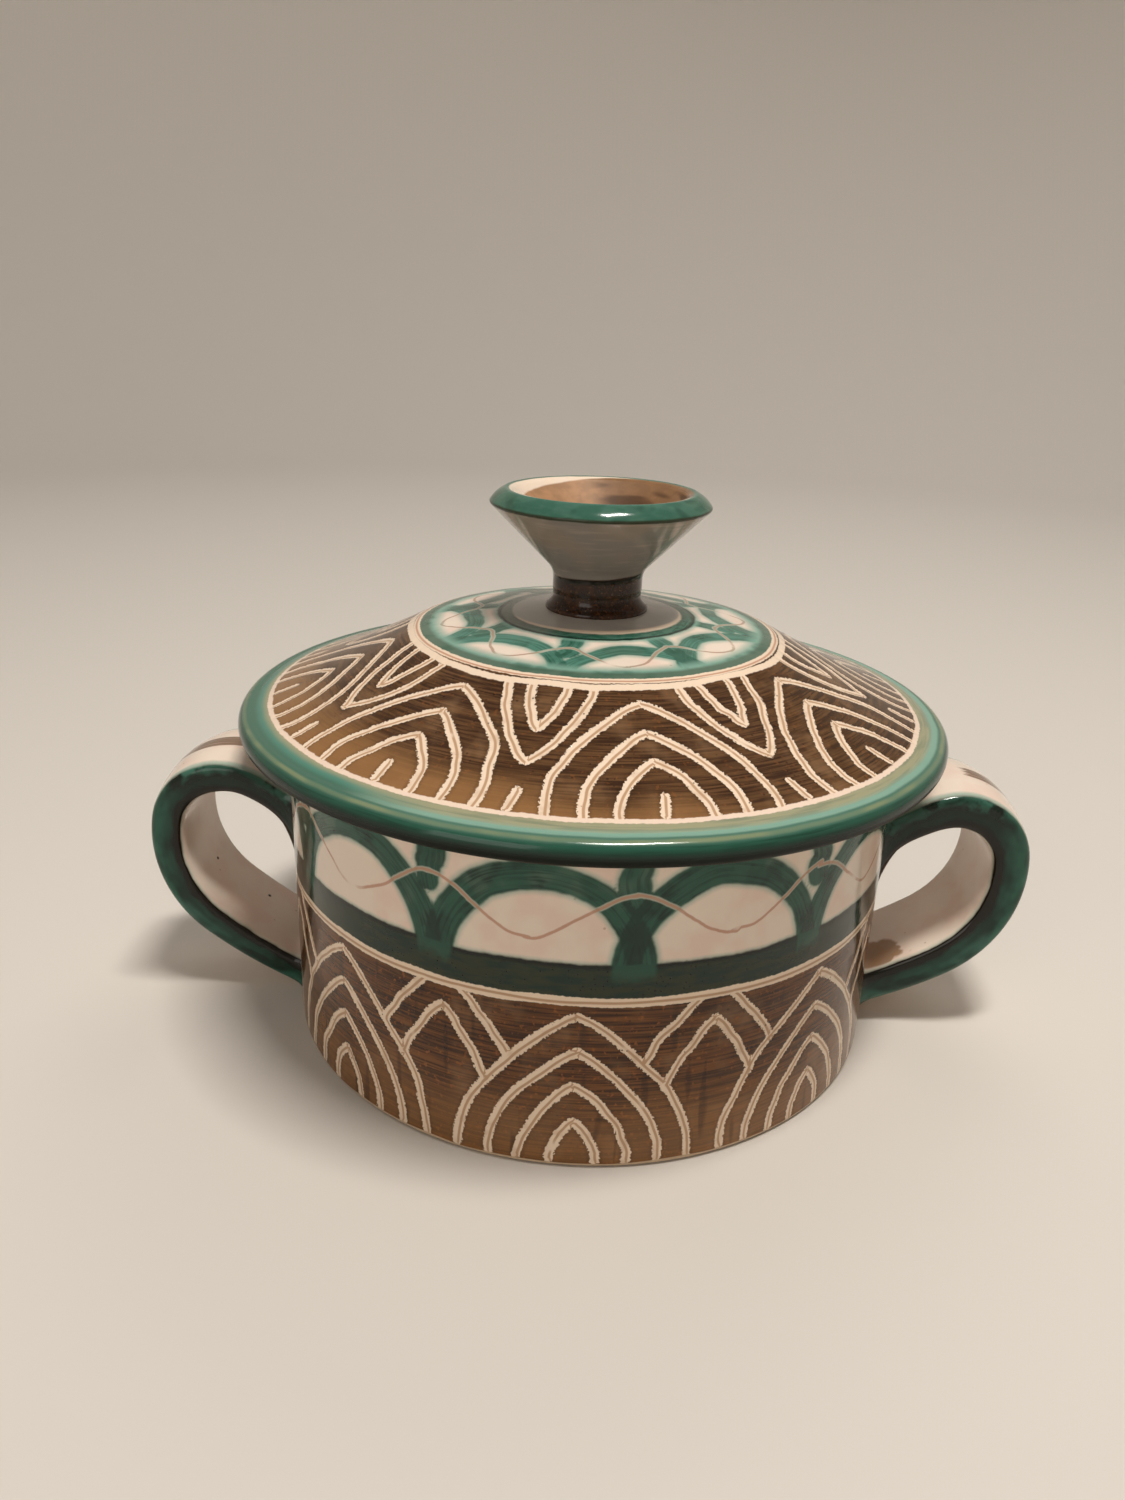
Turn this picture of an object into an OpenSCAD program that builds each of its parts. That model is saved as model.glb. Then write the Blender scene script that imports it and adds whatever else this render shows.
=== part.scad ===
// Covered casserole in glazed earthenware: a straight-sided bowl with two strap
// handles, and a wide shallow lid with a rolled rim and a hollow funnel knob.
// Millimetres, +Z up. The origin is the centre of the resting plane and the two
// handles stand along X.

/* [Bowl] */
// Outer radius of the straight wall
bowl_r = 78.4; // [72:0.2:86]
// Height of the rim above the table
bowl_h = 83; // [76:0.5:92]
// Thickness of the wall
wall_t = 5.5; // [4:0.25:7]
// Thickness of the floor above the turned recess
floor_t = 6; // [4.5:0.25:8]
// Rounding of the lower outer edge
base_edge_r = 1.5; // [0.8:0.1:4]
// Rounding inside, between the wall and the floor
inner_corner_r = 14; // [6:0.5:20]
// Rounding of both edges of the rim
rim_edge_r = 1.6; // [0.8:0.1:1.9]
// Width of the foot that is left standing round the turned recess
foot_w = 9; // [6:0.5:14]
// Depth of the turned recess under the floor
recess_d = 1.6; // [0.8:0.1:2.5]

/* [Handles] */
// Height at which the outer face of a strap leaves the wall at the top
handle_z = 59.8; // [52:0.2:63]
// Radius of the rising stretch of the outer face
rise_r = 58.6; // [50:0.2:68]
// Radius of the tight turn at the top
turn_r = 19.9; // [18:0.1:22]
// Radius of the side that comes down
side_r = 35.7; // [33:0.1:38]
// Radius of the nearly straight tail that runs back to the wall
tail_r = 109.2; // [90:0.2:130]
// Left strap: degrees of its rise, and of the four turns that follow
left_turns = [36.9, 12, 105.3, 60.5, 16.5]; // [5:0.1:120]
// Right strap, which is a little more open: the same five
right_turns = [40.4, 11.3, 109.7, 67, 13.9]; // [5:0.1:120]
// Width of the straps
strap_w = 30; // [24:0.5:36]
// Thickness of the left strap
left_strap_t = 8.4; // [7:0.1:10.5]
// Thickness of the right strap
right_strap_t = 9.8; // [7:0.1:10.5]
// Crown of a strap's outer face
strap_crown = 1.3; // [0.4:0.1:2]
// Rounding of a strap's edges
strap_edge_r = 2; // [1:0.1:2.4]
// Thinning of a strap next to its upper root
root_thin = 3; // [0:0.1:3.4]
// Length over which that thinning dies away
thin_len = 10; // [6:0.5:14]
// Drop of the luting clay down the wall, under the upper root
root_fillet = 8.5; // [4:0.25:10]
// Distance from the wall over which that clay dies away
fillet_len = 3.2; // [2.5:0.1:5]
// Thinning of a strap at its lower root
tail_thin = 1.6; // [0:0.1:3]

/* [Lid] */
// Gap under the lid's seat
seat_gap = 0.3; // [0.25:0.05:0.6]
// Overhang of the lid past the bowl's wall
lid_overhang = 11.6; // [9:0.2:15]
// Radius of the rolled rim's section
bead_r = 3.2; // [2.8:0.1:3.8]
// Depth that the rolled rim hangs below the seat
bead_drop = 2.4; // [1.6:0.1:3]
// Width of the flat strip between the rolled rim's crest and the cone
strip_w = 4.4; // [3.6:0.1:5.2]
// Height of the cone's foot above the seat
cone_foot_h = 5; // [4.4:0.1:6]
// Height of the cone, from its foot to the shoulder
cone_h = 17.1; // [13:0.1:21]
// Hollow of the cone's line below a straight one
cone_hollow = 0.8; // [0:0.1:1.4]
// Radius of the shoulder where the cone meets the crown
shoulder_r = 45.8; // [40:0.2:52]
// Rounding of the shoulder
shoulder_round = 14; // [6:1:20]
// Height of the crown above the shoulder
crown_h = 5.2; // [4:0.1:8]
// Thickness of the lid's shell
lid_t = 5.6; // [4.5:0.1:6.5]
// Clearance between the locating flange and the bowl's wall
flange_clear = 1.2; // [0.8:0.1:2]
// Thickness of the locating flange
flange_t = 4.5; // [3.5:0.1:6]
// Depth that the flange reaches below the seat
flange_d = 7.8; // [5:0.2:12]
// Rounding of the flange's lower edges
flange_edge_r = 1.6; // [0.8:0.1:1.7]

/* [Knob] */
// Radius of the knob's foot on the crown
knob_foot_r = 13; // [12:0.1:15]
// Radius of the neck
neck_r = 11.3; // [10:0.1:12]
// Height of the neck's narrowest place above the crown
neck_h = 6.6; // [5:0.1:8]
// Half the length of the neck's straight stretch
neck_half = 1.6; // [0.8:0.1:2.4]
// Radius of the turn from the neck into the cup
neck_turn_r = 5; // [3:0.5:7]
// Slope of the cup's wall, from the vertical
cup_slope = 45; // [40:0.5:48]
// Radius of the cup's crease, its widest place
cup_r = 28; // [25:0.2:31]
// Height of the crease above the crown
crease_h = 26.2; // [24:0.1:30]
// Radius of the lip
lip_r = 23.8; // [22:0.1:23.9]
// Height of the lip above the crease
lip_h = 3.4; // [2.4:0.1:4]
// Thickness of the cup's wall
cup_t = 4.6; // [3.8:0.1:5]
// Depth of the cup
cup_d = 18; // [12:0.5:19.5]

/* [Hidden] */

ROUND_FN = 128;        // facets that a preview gives a full turn
ARC_STEP = 6;          // degrees between the points of an outline's arc
SEAT_A = -55;          // angle on the lower edge down to which a strap is luted to it
RUN_IN = [8, 5, 2.5];  // how far back inside the wall a strap's first sections lie
LEG_STEPS = [3, 7, 5, 2.2];  // degrees between the sections on a strap's four turns
HOLLOW_ROUND = 6;      // rounding where the lid's underside turns up from its flange
UNDER_ROUND = 20;      // rounding of the underside below the shoulder
UNDER_RUN = 14.6;      // how far inside the cone's foot the underside starts to rise
PAD_MARGIN = 0.4;      // flat of the crown that shows round the knob's foot
FOOT_EDGE = 0.6;       // height of the edge of the knob's foot
FOOT_SWEEP = 0.8;      // hollow of the line from the knob's foot up to the neck
CREASE_ROUND = 0.5;    // rounding of the cup's crease
CUP_HOLLOW = 0.9;      // bow of the cup's inner wall
LIP_ROUND = 1.1;       // rounding of the cup's lip
GLAZE_WHITE = [0.86, 0.80, 0.74];
GLAZE_BROWN = [0.36, 0.22, 0.13];
GLAZE_TAN = [0.52, 0.36, 0.22];
GLAZE_GREEN = [0.08, 0.34, 0.28];
GLAZE_GREY = [0.62, 0.59, 0.56];

bowl_in_r = bowl_r - wall_t;
edge_c = [bowl_r - base_edge_r, base_edge_r];
wall_seat = 1.4;       // depth of the round wall's face behind a strap's flat root
seat_z = bowl_h + seat_gap;
lid_r = bowl_r + lid_overhang;
bead_c = [lid_r - bead_r, seat_z - bead_drop + bead_r];
cone_foot = [bead_c[0] - strip_w, seat_z + cone_foot_h];
shoulder = [shoulder_r, cone_foot[1] + cone_h];
crown_z = shoulder[1] + crown_h;
flange_r = bowl_in_r - flange_clear;
lip_top = crown_z + crease_h + lip_h;

// Points of an arc about c, from angle a0 to a1, both ends included
function arc(c, r, a0, a1, step = ARC_STEP) =
    let (n = max(1, ceil(abs(a1 - a0) / step)))
    [for (i = [0:n]) let (a = a0 + (a1 - a0) * i / n) c + r * [cos(a), sin(a)]];

// A curved line from p to q that lies h off the straight one, to its right
function bowed(p, q, h, n = 10) =
    let (d = q - p, side = [d[1], -d[0]] / norm(d))
    [for (i = [0:n]) let (t = i / n) p + d * t + side * h * 4 * t * (1 - t)];

// The corner b of the path a-b-c, rounded off to radius r
function rounded(a, b, c, r) =
    let (u = (a - b) / norm(a - b), v = (c - b) / norm(c - b),
         half = acos(u * v) / 2, run = r / tan(half),
         m = b + (u + v) / norm(u + v) * r / sin(half),
         p = b + u * run - m, q = b + v * run - m,
         a0 = atan2(p[1], p[0]), turn = atan2(q[1], q[0]) - a0,
         short = turn > 180 ? turn - 360 : turn < -180 ? turn + 360 : turn)
    arc(m, r, a0, a0 + short);

module turned(outline) rotate_extrude($fn = ROUND_FN) polygon(outline);

// ---- bowl ----

// The outer face of the bowl, up to the top of the rim, from the resting face or from
// another angle on its rounded lower edge
function bowl_outside(from = -90) = concat(
    arc(edge_c, base_edge_r, from, 0),
    arc([bowl_r - rim_edge_r, bowl_h - rim_edge_r], rim_edge_r, 0, 90, 15));

module bowl() {
    foot_in_r = edge_c[0] - foot_w;
    floor_z = recess_d + floor_t;
    color(GLAZE_BROWN)
        turned(concat(
            [[0, recess_d], [foot_in_r - recess_d, recess_d], [foot_in_r, 0]],
            bowl_outside(),
            arc([bowl_in_r + rim_edge_r, bowl_h - rim_edge_r], rim_edge_r, 90, 180, 15),
            arc([bowl_in_r - inner_corner_r, floor_z + inner_corner_r], inner_corner_r, 0, -90),
            [[0, floor_z]]));
}

// ---- handles ----

// The outer face of a strap in its own plane, as [place, heading] pairs. Each leg is an
// arc [radius, turn, step], and turns clockwise from where the last one ended.
function leg_end(s, leg) =
    [s[0] + leg[0] * [sin(s[1]) - sin(s[1] - leg[1]), cos(s[1] - leg[1]) - cos(s[1])],
     s[1] - leg[1]];
function leg_points(s, leg) =
    let (n = ceil(leg[1] / leg[2]))
    [for (i = [1:n]) leg_end(s, [leg[0], leg[1] * i / n])];
function legs(s, list, k = 0) =
    k == len(list) ? [] : concat(leg_points(s, list[k]), legs(leg_end(s, list[k]), list, k + 1));
function heading(a) = [cos(a), sin(a)];

// The line starts and ends inside the wall, whose face trims it
function strap_line(turns) =
    let (root = [[bowl_r - wall_seat, handle_z], turns[0]],
         radii = [rise_r, turn_r, side_r, tail_r],
         free = legs(root, [for (k = [0:3]) [radii[k], turns[k + 1], LEG_STEPS[k]]]),
         end = free[len(free) - 1])
    concat([for (back = RUN_IN) [root[0] - back * heading(root[1]), root[1]]],
           [root], free, [[end[0] - [wall_t, 0], end[1]]]);

// How far each place on the line is past the root, along the line
function run(line) =
    [for (i = 0, d = -RUN_IN[0]; i < len(line);
          d = d + (i + 1 < len(line) ? norm(line[i + 1][0] - line[i][0]) : 0), i = i + 1) d];

// Thickness at a distance d past the root, on a strap whose line is whole long
function thickness(t, d, whole) =
    t - root_thin * exp(-max(0, d) / thin_len) - tail_thin * exp((d - whole) / thin_len);

// A point of a strap drawn down along the wall by the clay that lutes the upper root:
// share is 0 on the outer face and 1 on the inner one
function luted(p, share) =
    let (gap = max(norm([p[0], p[1]]) - bowl_r, -wall_seat))
    p - [0, 0, share * root_fillet * exp(-gap / fillet_len)];

// Section of a strap in [across, outward]: a crowned outer face, rounded edges and a
// flat inner face at depth t
function strap_section(t) =
    let (e = strap_edge_r, w = strap_w / 2 - e)
    concat(
        arc([-w, e - t], e, -90, -180, 30),
        arc([-w, -e], e, 180, 110, 35),
        [for (i = [-3:3]) let (x = i / 3.5) [x * w, strap_crown * (1 - x * x)]],
        arc([w, -e], e, 70, 0, 35),
        arc([w, e - t], e, 0, -90, 30));

module swept_strap(turns, t) {
    line = strap_line(turns);
    place = run(line);
    last = len(line) - 1;
    rings = [for (i = [0:last])
        let (p = line[i][0], out = heading(line[i][1] + 90),
             thick = thickness(t, place[i], place[last] - wall_t),
             upper = place[i] < place[last] / 2 ? 1 : 0)
        [for (q = strap_section(thick))
            luted([p[0] + q[1] * out[0], q[0], p[1] + q[1] * out[1]],
                  upper * min(1, max(0, -q[1] / thick)))]];
    m = len(rings[0]);
    polyhedron(
        points = [for (r = rings) each r],
        faces = concat(
            [[for (j = [0:m - 1]) j]],
            [for (i = [0:last - 1], j = [0:m - 1]) let (k = (j + 1) % m)
                [i * m + j, (i + 1) * m + j, (i + 1) * m + k, i * m + k]],
            [[for (j = [m - 1:-1:0]) last * m + j]]));
}

module handle(turns, t) {
    color(GLAZE_GREEN)
        difference() {
            swept_strap(turns, t);
            turned(concat(
                [[0, -strap_w], [edge_c[0] + base_edge_r * cos(SEAT_A), -strap_w]],
                bowl_outside(SEAT_A),
                [[0, bowl_h]]));
        }
}

module right_handle() handle(right_turns, right_strap_t);
module left_handle() mirror([1, 0, 0]) handle(left_turns, left_strap_t);

// ---- lid ----

module lid() {
    bead_in = 100;     // angle at which the strip runs into the rolled rim
    bead_out = -125;   // angle at which the rolled rim turns up to the seat
    pad_r = knob_foot_r + PAD_MARGIN;
    pad = [pad_r, crown_z];
    cone = bowed(cone_foot, shoulder, -cone_hollow);
    run_in = cone[len(cone) - 2];
    under_cone = cone_foot + [-UNDER_RUN, 0];
    hollow_r = flange_r - flange_t;
    below = [0, -lid_t];
    turn_in = [hollow_r - 1, under_cone[1] + 1];
    color(GLAZE_TAN)
        turned(concat(
            [[0, crown_z]],
            [pad],
            rounded(pad, shoulder, run_in, shoulder_round),
            [for (i = [len(cone) - 3:-1:0]) cone[i]],
            arc(bead_c, bead_r, bead_in, bead_out, 9),
            [[bead_c[0] - bead_r, seat_z], [hollow_r, seat_z]],
            rounded([hollow_r, seat_z], turn_in, shoulder + below, HOLLOW_ROUND),
            rounded(turn_in, shoulder + below, pad + below, UNDER_ROUND),
            [pad + below, [0, crown_z - lid_t]]));
}

module lid_flange() {
    r_in = flange_r - flange_t;
    low = seat_z - flange_d + flange_edge_r;
    color(GLAZE_WHITE)
        turned(concat(
            [[r_in, seat_z]],
            arc([r_in + flange_edge_r, low], flange_edge_r, 180, 270, 15),
            arc([flange_r - flange_edge_r, low], flange_edge_r, 270, 360, 15),
            [[flange_r, seat_z]]));
}

// ---- knob ----

module knob() {
    crease = [cup_r, crown_z + crease_h];
    lip = [lip_r, lip_top];
    neck_low = [neck_r, crown_z + neck_h - neck_half];
    neck_top = [neck_r, crown_z + neck_h + neck_half];
    slope = [sin(cup_slope), cos(cup_slope)];
    // where the neck's line meets the line of the cup's wall
    wall_foot = [neck_r, crease[1] - (cup_r - neck_r) / tan(cup_slope)];
    inner_foot = [neck_r - cup_t * 0.9, lip_top - cup_d];
    inner_lip = lip - [LIP_ROUND * 2, LIP_ROUND * 0.4];
    color(GLAZE_GREY)
        turned(concat(
            [[0, crown_z], [knob_foot_r, crown_z]],
            bowed([knob_foot_r, crown_z + FOOT_EDGE], neck_low, -FOOT_SWEEP, 6),
            rounded(neck_low, wall_foot, crease, neck_turn_r),
            rounded(wall_foot, crease, lip, CREASE_ROUND),
            rounded(crease, lip, inner_lip, LIP_ROUND),
            bowed(inner_lip, inner_foot, CUP_HOLLOW, 8),
            [[0, inner_foot[1] - 1]]));
}

bowl();
left_handle();
right_handle();
lid();
lid_flange();
knob();
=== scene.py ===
"""Covered casserole in glazed earthenware: the turned and pulled clay, its painted and
scratched glazes, a plain studio and the camera. Shapes are worked out in millimetres."""

import math

import bpy
import numpy as np
from mathutils import Matrix, Vector


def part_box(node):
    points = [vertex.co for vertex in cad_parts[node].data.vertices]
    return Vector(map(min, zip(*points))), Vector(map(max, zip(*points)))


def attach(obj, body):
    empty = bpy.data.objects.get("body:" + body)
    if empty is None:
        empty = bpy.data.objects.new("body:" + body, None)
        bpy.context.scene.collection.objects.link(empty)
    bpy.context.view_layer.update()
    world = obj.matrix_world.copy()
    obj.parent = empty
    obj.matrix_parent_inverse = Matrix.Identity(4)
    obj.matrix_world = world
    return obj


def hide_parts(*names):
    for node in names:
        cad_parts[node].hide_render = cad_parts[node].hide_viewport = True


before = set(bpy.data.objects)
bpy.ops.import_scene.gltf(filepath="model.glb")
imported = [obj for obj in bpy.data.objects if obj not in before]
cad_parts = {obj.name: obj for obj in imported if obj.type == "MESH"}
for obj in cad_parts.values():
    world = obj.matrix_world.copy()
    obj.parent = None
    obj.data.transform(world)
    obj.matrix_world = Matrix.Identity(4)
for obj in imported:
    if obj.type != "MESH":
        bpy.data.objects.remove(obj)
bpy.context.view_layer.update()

MM = 0.001
TURN = 2 * math.pi

# ---- sizes taken from the frame ----


def reach(node):
    """Lowest and highest corner of a solid, in millimetres."""
    low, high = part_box(node)
    return np.array(low) / MM, np.array(high) / MM


bowl_r, _, bowl_h = reach("bowl")[1]
lid_low, lid_high = reach("lid")
flange_low, flange_high = reach("lid_flange")
knob_low, knob_high = reach("knob")
strap_low, strap_high = reach("right_handle")

lid_r = lid_high[0]
crown_z = knob_low[2]
seat_z = flange_high[2]
flange_r = flange_high[0]
cup_r, lip_top = knob_high[0], knob_high[2]
strap_w = strap_high[1] - strap_low[1]

# ---- sizes that the solids hold inside their boxes ----

WALL_T = 5.5
FLOOR_T = 6
RECESS_D = 1.6
FOOT_W = 9
BASE_EDGE_R = 1.5
INNER_CORNER_R = 14
RIM_EDGE_R = 1.6

HANDLE_Z = 59.8
ROOT_DEPTH = 1.4  # how far a strap's line starts inside the wall
RUN_IN = 8  # how far its clay goes on behind that start
RUN_OUT = 5  # and past the end of its tail
TURN_RADII = (58.6, 19.9, 35.7, 109.2)
LEFT_TURNS = (36.9, 12, 105.3, 60.5, 16.5)  # first heading, then the turns on the four radii
RIGHT_TURNS = (40.4, 11.3, 109.7, 67, 13.9)
LEFT_STRAP_T, RIGHT_STRAP_T = 8.4, 9.8
STRAP_CROWN = 1.3
STRAP_EDGE_R = 2
STRAP_STEP = 1.0
ROOT_THIN, TAIL_THIN, THIN_LEN = 3, 1.6, 10
ROOT_FILLET, FILLET_LEN = 8.5, 3.2  # clay that lutes the upper root, and how soon it thins out
LUTE, LUTE_LEN = 1.5, 1.2  # clay smeared sideways along the wall at both roots
TABLE_GAP = 0.9  # how far the smeared clay stays above the table

BEAD_R = 3.2
STRIP_W = 4.4
BEAD_IN = 100  # angle at which the bead leaves the strip
BEAD_OUT = -125  # and at which it turns in underneath
CONE_FOOT_H = 5
SHOULDER_R = 45.8
CROWN_H = 5.2
CONE_HOLLOW = 0.8
SHOULDER_ROUND = 14
LID_T = 5.6
PAD_IN = 1.5
HOLLOW_EDGE, HOLLOW_ROUND, UNDER_ROUND = 1, 6, 20
FLANGE_T = 4.5
FLANGE_EDGE_R = 1.6
FLANGE_TUCK = 0.8

KNOB_FOOT_R = 13
FOOT_SINK, FOOT_EDGE, FOOT_SWEEP = 0.4, 0.6, 0.8
NECK_R = 11.3
NECK_H = 6.6
NECK_HALF = 1.6
NECK_TURN_R = 5
CUP_SLOPE = math.radians(45)
LIP_R = 23.8
LIP_H = 3.4
LIP_ROUND = 1.1
LIP_BOW = 0.3
CREASE_ROUND = 0.5
CUP_T = 4.6
CUP_D = 18
CUP_HOLLOW = 0.9
CUP_CORNER = 1.2

bowl_in_r = bowl_r - WALL_T
floor_z = RECESS_D + FLOOR_T
bead_c = (lid_r - BEAD_R, lid_low[2] + BEAD_R)
cone_foot = (bead_c[0] - STRIP_W, seat_z + CONE_FOOT_H)
shoulder = (SHOULDER_R, crown_z - CROWN_H)

# ---- bands of the painting ----

EDGE_LINE_Z = 1.4
CREAM_LINE_Z = 44.2
CREAM_LINE_W = 2.3
BAND_TOP_Z = 53.6
DISC_R = 21.6
RING_R = 25.2
OUTER_RING_R = 41.6
NECK_TOP_H = 9.2
CUT_W = 2.15
STROKE_W = 7.2
LID_STROKE_W = 5.4
SMUDGE_RUN, SMUDGE_FRONT = 110, 7.5  # run along the right strap, and how far before its middle
SMUDGE_HALF_RUN, SMUDGE_HALF_W = 10, 7.5
PINHOLES = ((72.7, 2), (95.4, 5))  # run along the left strap and place across it


# ---- outlines ----


def runs(line):
    """How far each point of a line is along it."""
    return np.concatenate(([0], np.cumsum(np.linalg.norm(np.diff(line, axis=0), axis=1))))


def arc(centre, radius, start, end, step=6):
    """Points of an arc, with its angles in degrees."""
    count = max(1, math.ceil(abs(end - start) / step))
    angles = np.radians(np.linspace(start, end, count + 1))
    return [(centre[0] + radius * math.cos(a), centre[1] + radius * math.sin(a)) for a in angles]


def bowed(start, end, height, count=10):
    """A curved line that lies height to the right of the straight one."""
    p, q = np.array(start, float), np.array(end, float)
    d = q - p
    side = np.array((d[1], -d[0])) / np.linalg.norm(d)
    return [tuple(p + d * t + side * height * 4 * t * (1 - t)) for t in np.linspace(0, 1, count + 1)]


def rounded(a, b, c, radius, step=6):
    """The corner b of the path a-b-c, rounded off."""
    a, b, c = (np.array(p, float) for p in (a, b, c))
    u = (a - b) / np.linalg.norm(a - b)
    v = (c - b) / np.linalg.norm(c - b)
    half = math.acos(float(u @ v)) / 2
    middle = b + (u + v) / np.linalg.norm(u + v) * radius / math.sin(half)
    first = b + u * radius / math.tan(half) - middle
    last = b + v * radius / math.tan(half) - middle
    start = math.degrees(math.atan2(first[1], first[0]))
    turn = math.degrees(math.atan2(last[1], last[0])) - start
    turn = (turn + 180) % 360 - 180
    return arc(middle, radius, start, start + turn, step)


def spaced(points, step):
    """The same line with its points about one step apart."""
    p = np.array(points, float)
    run = runs(p)
    count = max(2, int(round(run[-1] / step)) + 1)
    at = np.linspace(0, run[-1], count)
    return np.column_stack([np.interp(at, run, p[:, k]) for k in range(p.shape[1])])


def outline(*stretches):
    """One outline from stretches of (points, step): its points, how far each is along it, and
    how far along it each stretch ends."""
    line = [spaced(points, step) for points, step in stretches]
    line = [line[0]] + [part[1:] for part in line[1:]]
    marks = np.cumsum([len(part) for part in line]) - 1
    line = np.vstack(line)
    run = runs(line)
    return line, run, run[marks]


FINE, COARSE = 0.85, 4.0  # steps on faces that carry marks and on plain ones


def bowl_outline():
    foot_in = bowl_r - BASE_EDGE_R - FOOT_W
    low_edge = arc((bowl_r - BASE_EDGE_R, BASE_EDGE_R), BASE_EDGE_R, -90, 0)
    rim_out = arc((bowl_r - RIM_EDGE_R, bowl_h - RIM_EDGE_R), RIM_EDGE_R, 0, 90, 15)
    rim_in = arc((bowl_in_r + RIM_EDGE_R, bowl_h - RIM_EDGE_R), RIM_EDGE_R, 90, 180, 15)
    corner = arc((bowl_in_r - INNER_CORNER_R, floor_z + INNER_CORNER_R), INNER_CORNER_R, 0, -90)
    return outline(
        ([(0, RECESS_D), (foot_in - RECESS_D, RECESS_D)], 9),
        ([(foot_in - RECESS_D, RECESS_D), (foot_in, 0)], 0.8),
        ([(foot_in, 0), low_edge[0]], 2),
        (low_edge + [rim_out[0]], FINE),
        (rim_out + rim_in, 0.5),
        ([rim_in[-1], corner[0]], COARSE),
        (corner, 2),
        ([corner[-1], (0, floor_z)], 7),
    )


def lid_outline():
    cone = bowed(cone_foot, shoulder, -CONE_HOLLOW)
    pad = (KNOB_FOOT_R - PAD_IN, crown_z)
    crown = rounded(pad, shoulder, cone[-2], SHOULDER_ROUND)
    bead = arc(bead_c, BEAD_R, BEAD_IN, BEAD_OUT, 9)
    bead_in = (bead_c[0] - BEAD_R, seat_z)
    hollow = (flange_r - FLANGE_T, seat_z)
    turn_in = (hollow[0] - HOLLOW_EDGE, cone_foot[1] + HOLLOW_EDGE)
    low_shoulder = (shoulder[0], shoulder[1] - LID_T)
    low_pad = (pad[0], pad[1] - LID_T)
    return outline(
        ([(0, crown_z), pad], 3),
        ([pad] + crown, FINE),
        ([crown[-1]] + cone[-3::-1], FINE),
        ([cone[0], bead[0]], 0.6),
        (bead, 0.6),
        ([bead[-1], bead_in], 1.5),
        ([bead_in, hollow], 3),
        (rounded(hollow, turn_in, low_shoulder, HOLLOW_ROUND), 2),
        (rounded(turn_in, low_shoulder, low_pad, UNDER_ROUND), COARSE),
        ([low_pad, (0, crown_z - LID_T)], COARSE),
    )


def flange_outline():
    inner = flange_r - FLANGE_T
    low = flange_low[2] + FLANGE_EDGE_R
    tucked = seat_z + FLANGE_TUCK
    return outline(
        ([(flange_r, tucked), (flange_r, low)], 0.8),
        (arc((flange_r - FLANGE_EDGE_R, low), FLANGE_EDGE_R, 0, -90, 15), 0.5),
        (arc((inner + FLANGE_EDGE_R, low), FLANGE_EDGE_R, -90, -180, 15), 0.5),
        ([(inner, low), (inner, tucked)], 0.8),
        ([(inner, tucked), (flange_r, tucked)], 2.5),
    )


def knob_outline():
    foot_low, foot_high = (KNOB_FOOT_R, crown_z - FOOT_SINK), (KNOB_FOOT_R, crown_z + FOOT_EDGE)
    crease = (cup_r, lip_top - LIP_H)
    lip = (LIP_R, lip_top)
    neck_low = (NECK_R, crown_z + NECK_H - NECK_HALF)
    wall_foot = (NECK_R, crease[1] - (cup_r - NECK_R) / math.tan(CUP_SLOPE))
    inner_foot = (NECK_R - CUP_T * 0.9, lip_top - CUP_D)
    inner_lip = (lip[0] - LIP_ROUND * 2, lip[1] - LIP_ROUND * 0.4)
    neck = rounded(neck_low, wall_foot, crease, NECK_TURN_R)
    crease_turn = rounded(wall_foot, crease, lip, CREASE_ROUND, 15)
    lip_turn = rounded(crease, lip, inner_lip, LIP_ROUND, 15)
    inside = bowed(inner_lip, inner_foot, CUP_HOLLOW, 8)
    bottom = inner_foot[1] - CUP_CORNER
    corner = (inner_foot[0] - CUP_CORNER, bottom)
    return outline(
        ([(0, foot_low[1]), foot_low], 4),
        ([foot_low, foot_high], 0.4),
        (bowed(foot_high, neck_low, -FOOT_SWEEP, 6) + neck, 0.5),
        ([neck[-1], crease_turn[0]], 0.6),
        (crease_turn, 0.25),
        (bowed(crease_turn[-1], lip_turn[0], LIP_BOW, 6), 0.5),
        (lip_turn, 0.3),
        ([lip_turn[-1]] + inside, 0.7),
        (rounded(inside[-1], corner, (0, bottom), 1), 0.6),
        ([(inner_foot[0] - CUP_CORNER * 2, bottom), (0, bottom)], 1.5),
    )


# ---- calls that wire up a node tree ----


def sign(operation, swapped=False):
    """The method behind an arithmetic sign: it adds a node that does the sum."""

    def method(self, *other):
        values = (*other, self) if swapped else (self, *other)
        return self.wiring.math(operation, *values)

    return method


class Flow:
    """A value on its way through a node tree, which plain arithmetic can be done on."""

    def __init__(self, wiring, socket):
        self.wiring = wiring
        self.socket = socket

    __add__, __radd__ = sign("ADD"), sign("ADD", True)
    __sub__, __rsub__ = sign("SUBTRACT"), sign("SUBTRACT", True)
    __mul__, __truediv__ = sign("MULTIPLY"), sign("DIVIDE")
    __abs__ = sign("ABSOLUTE")


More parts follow.
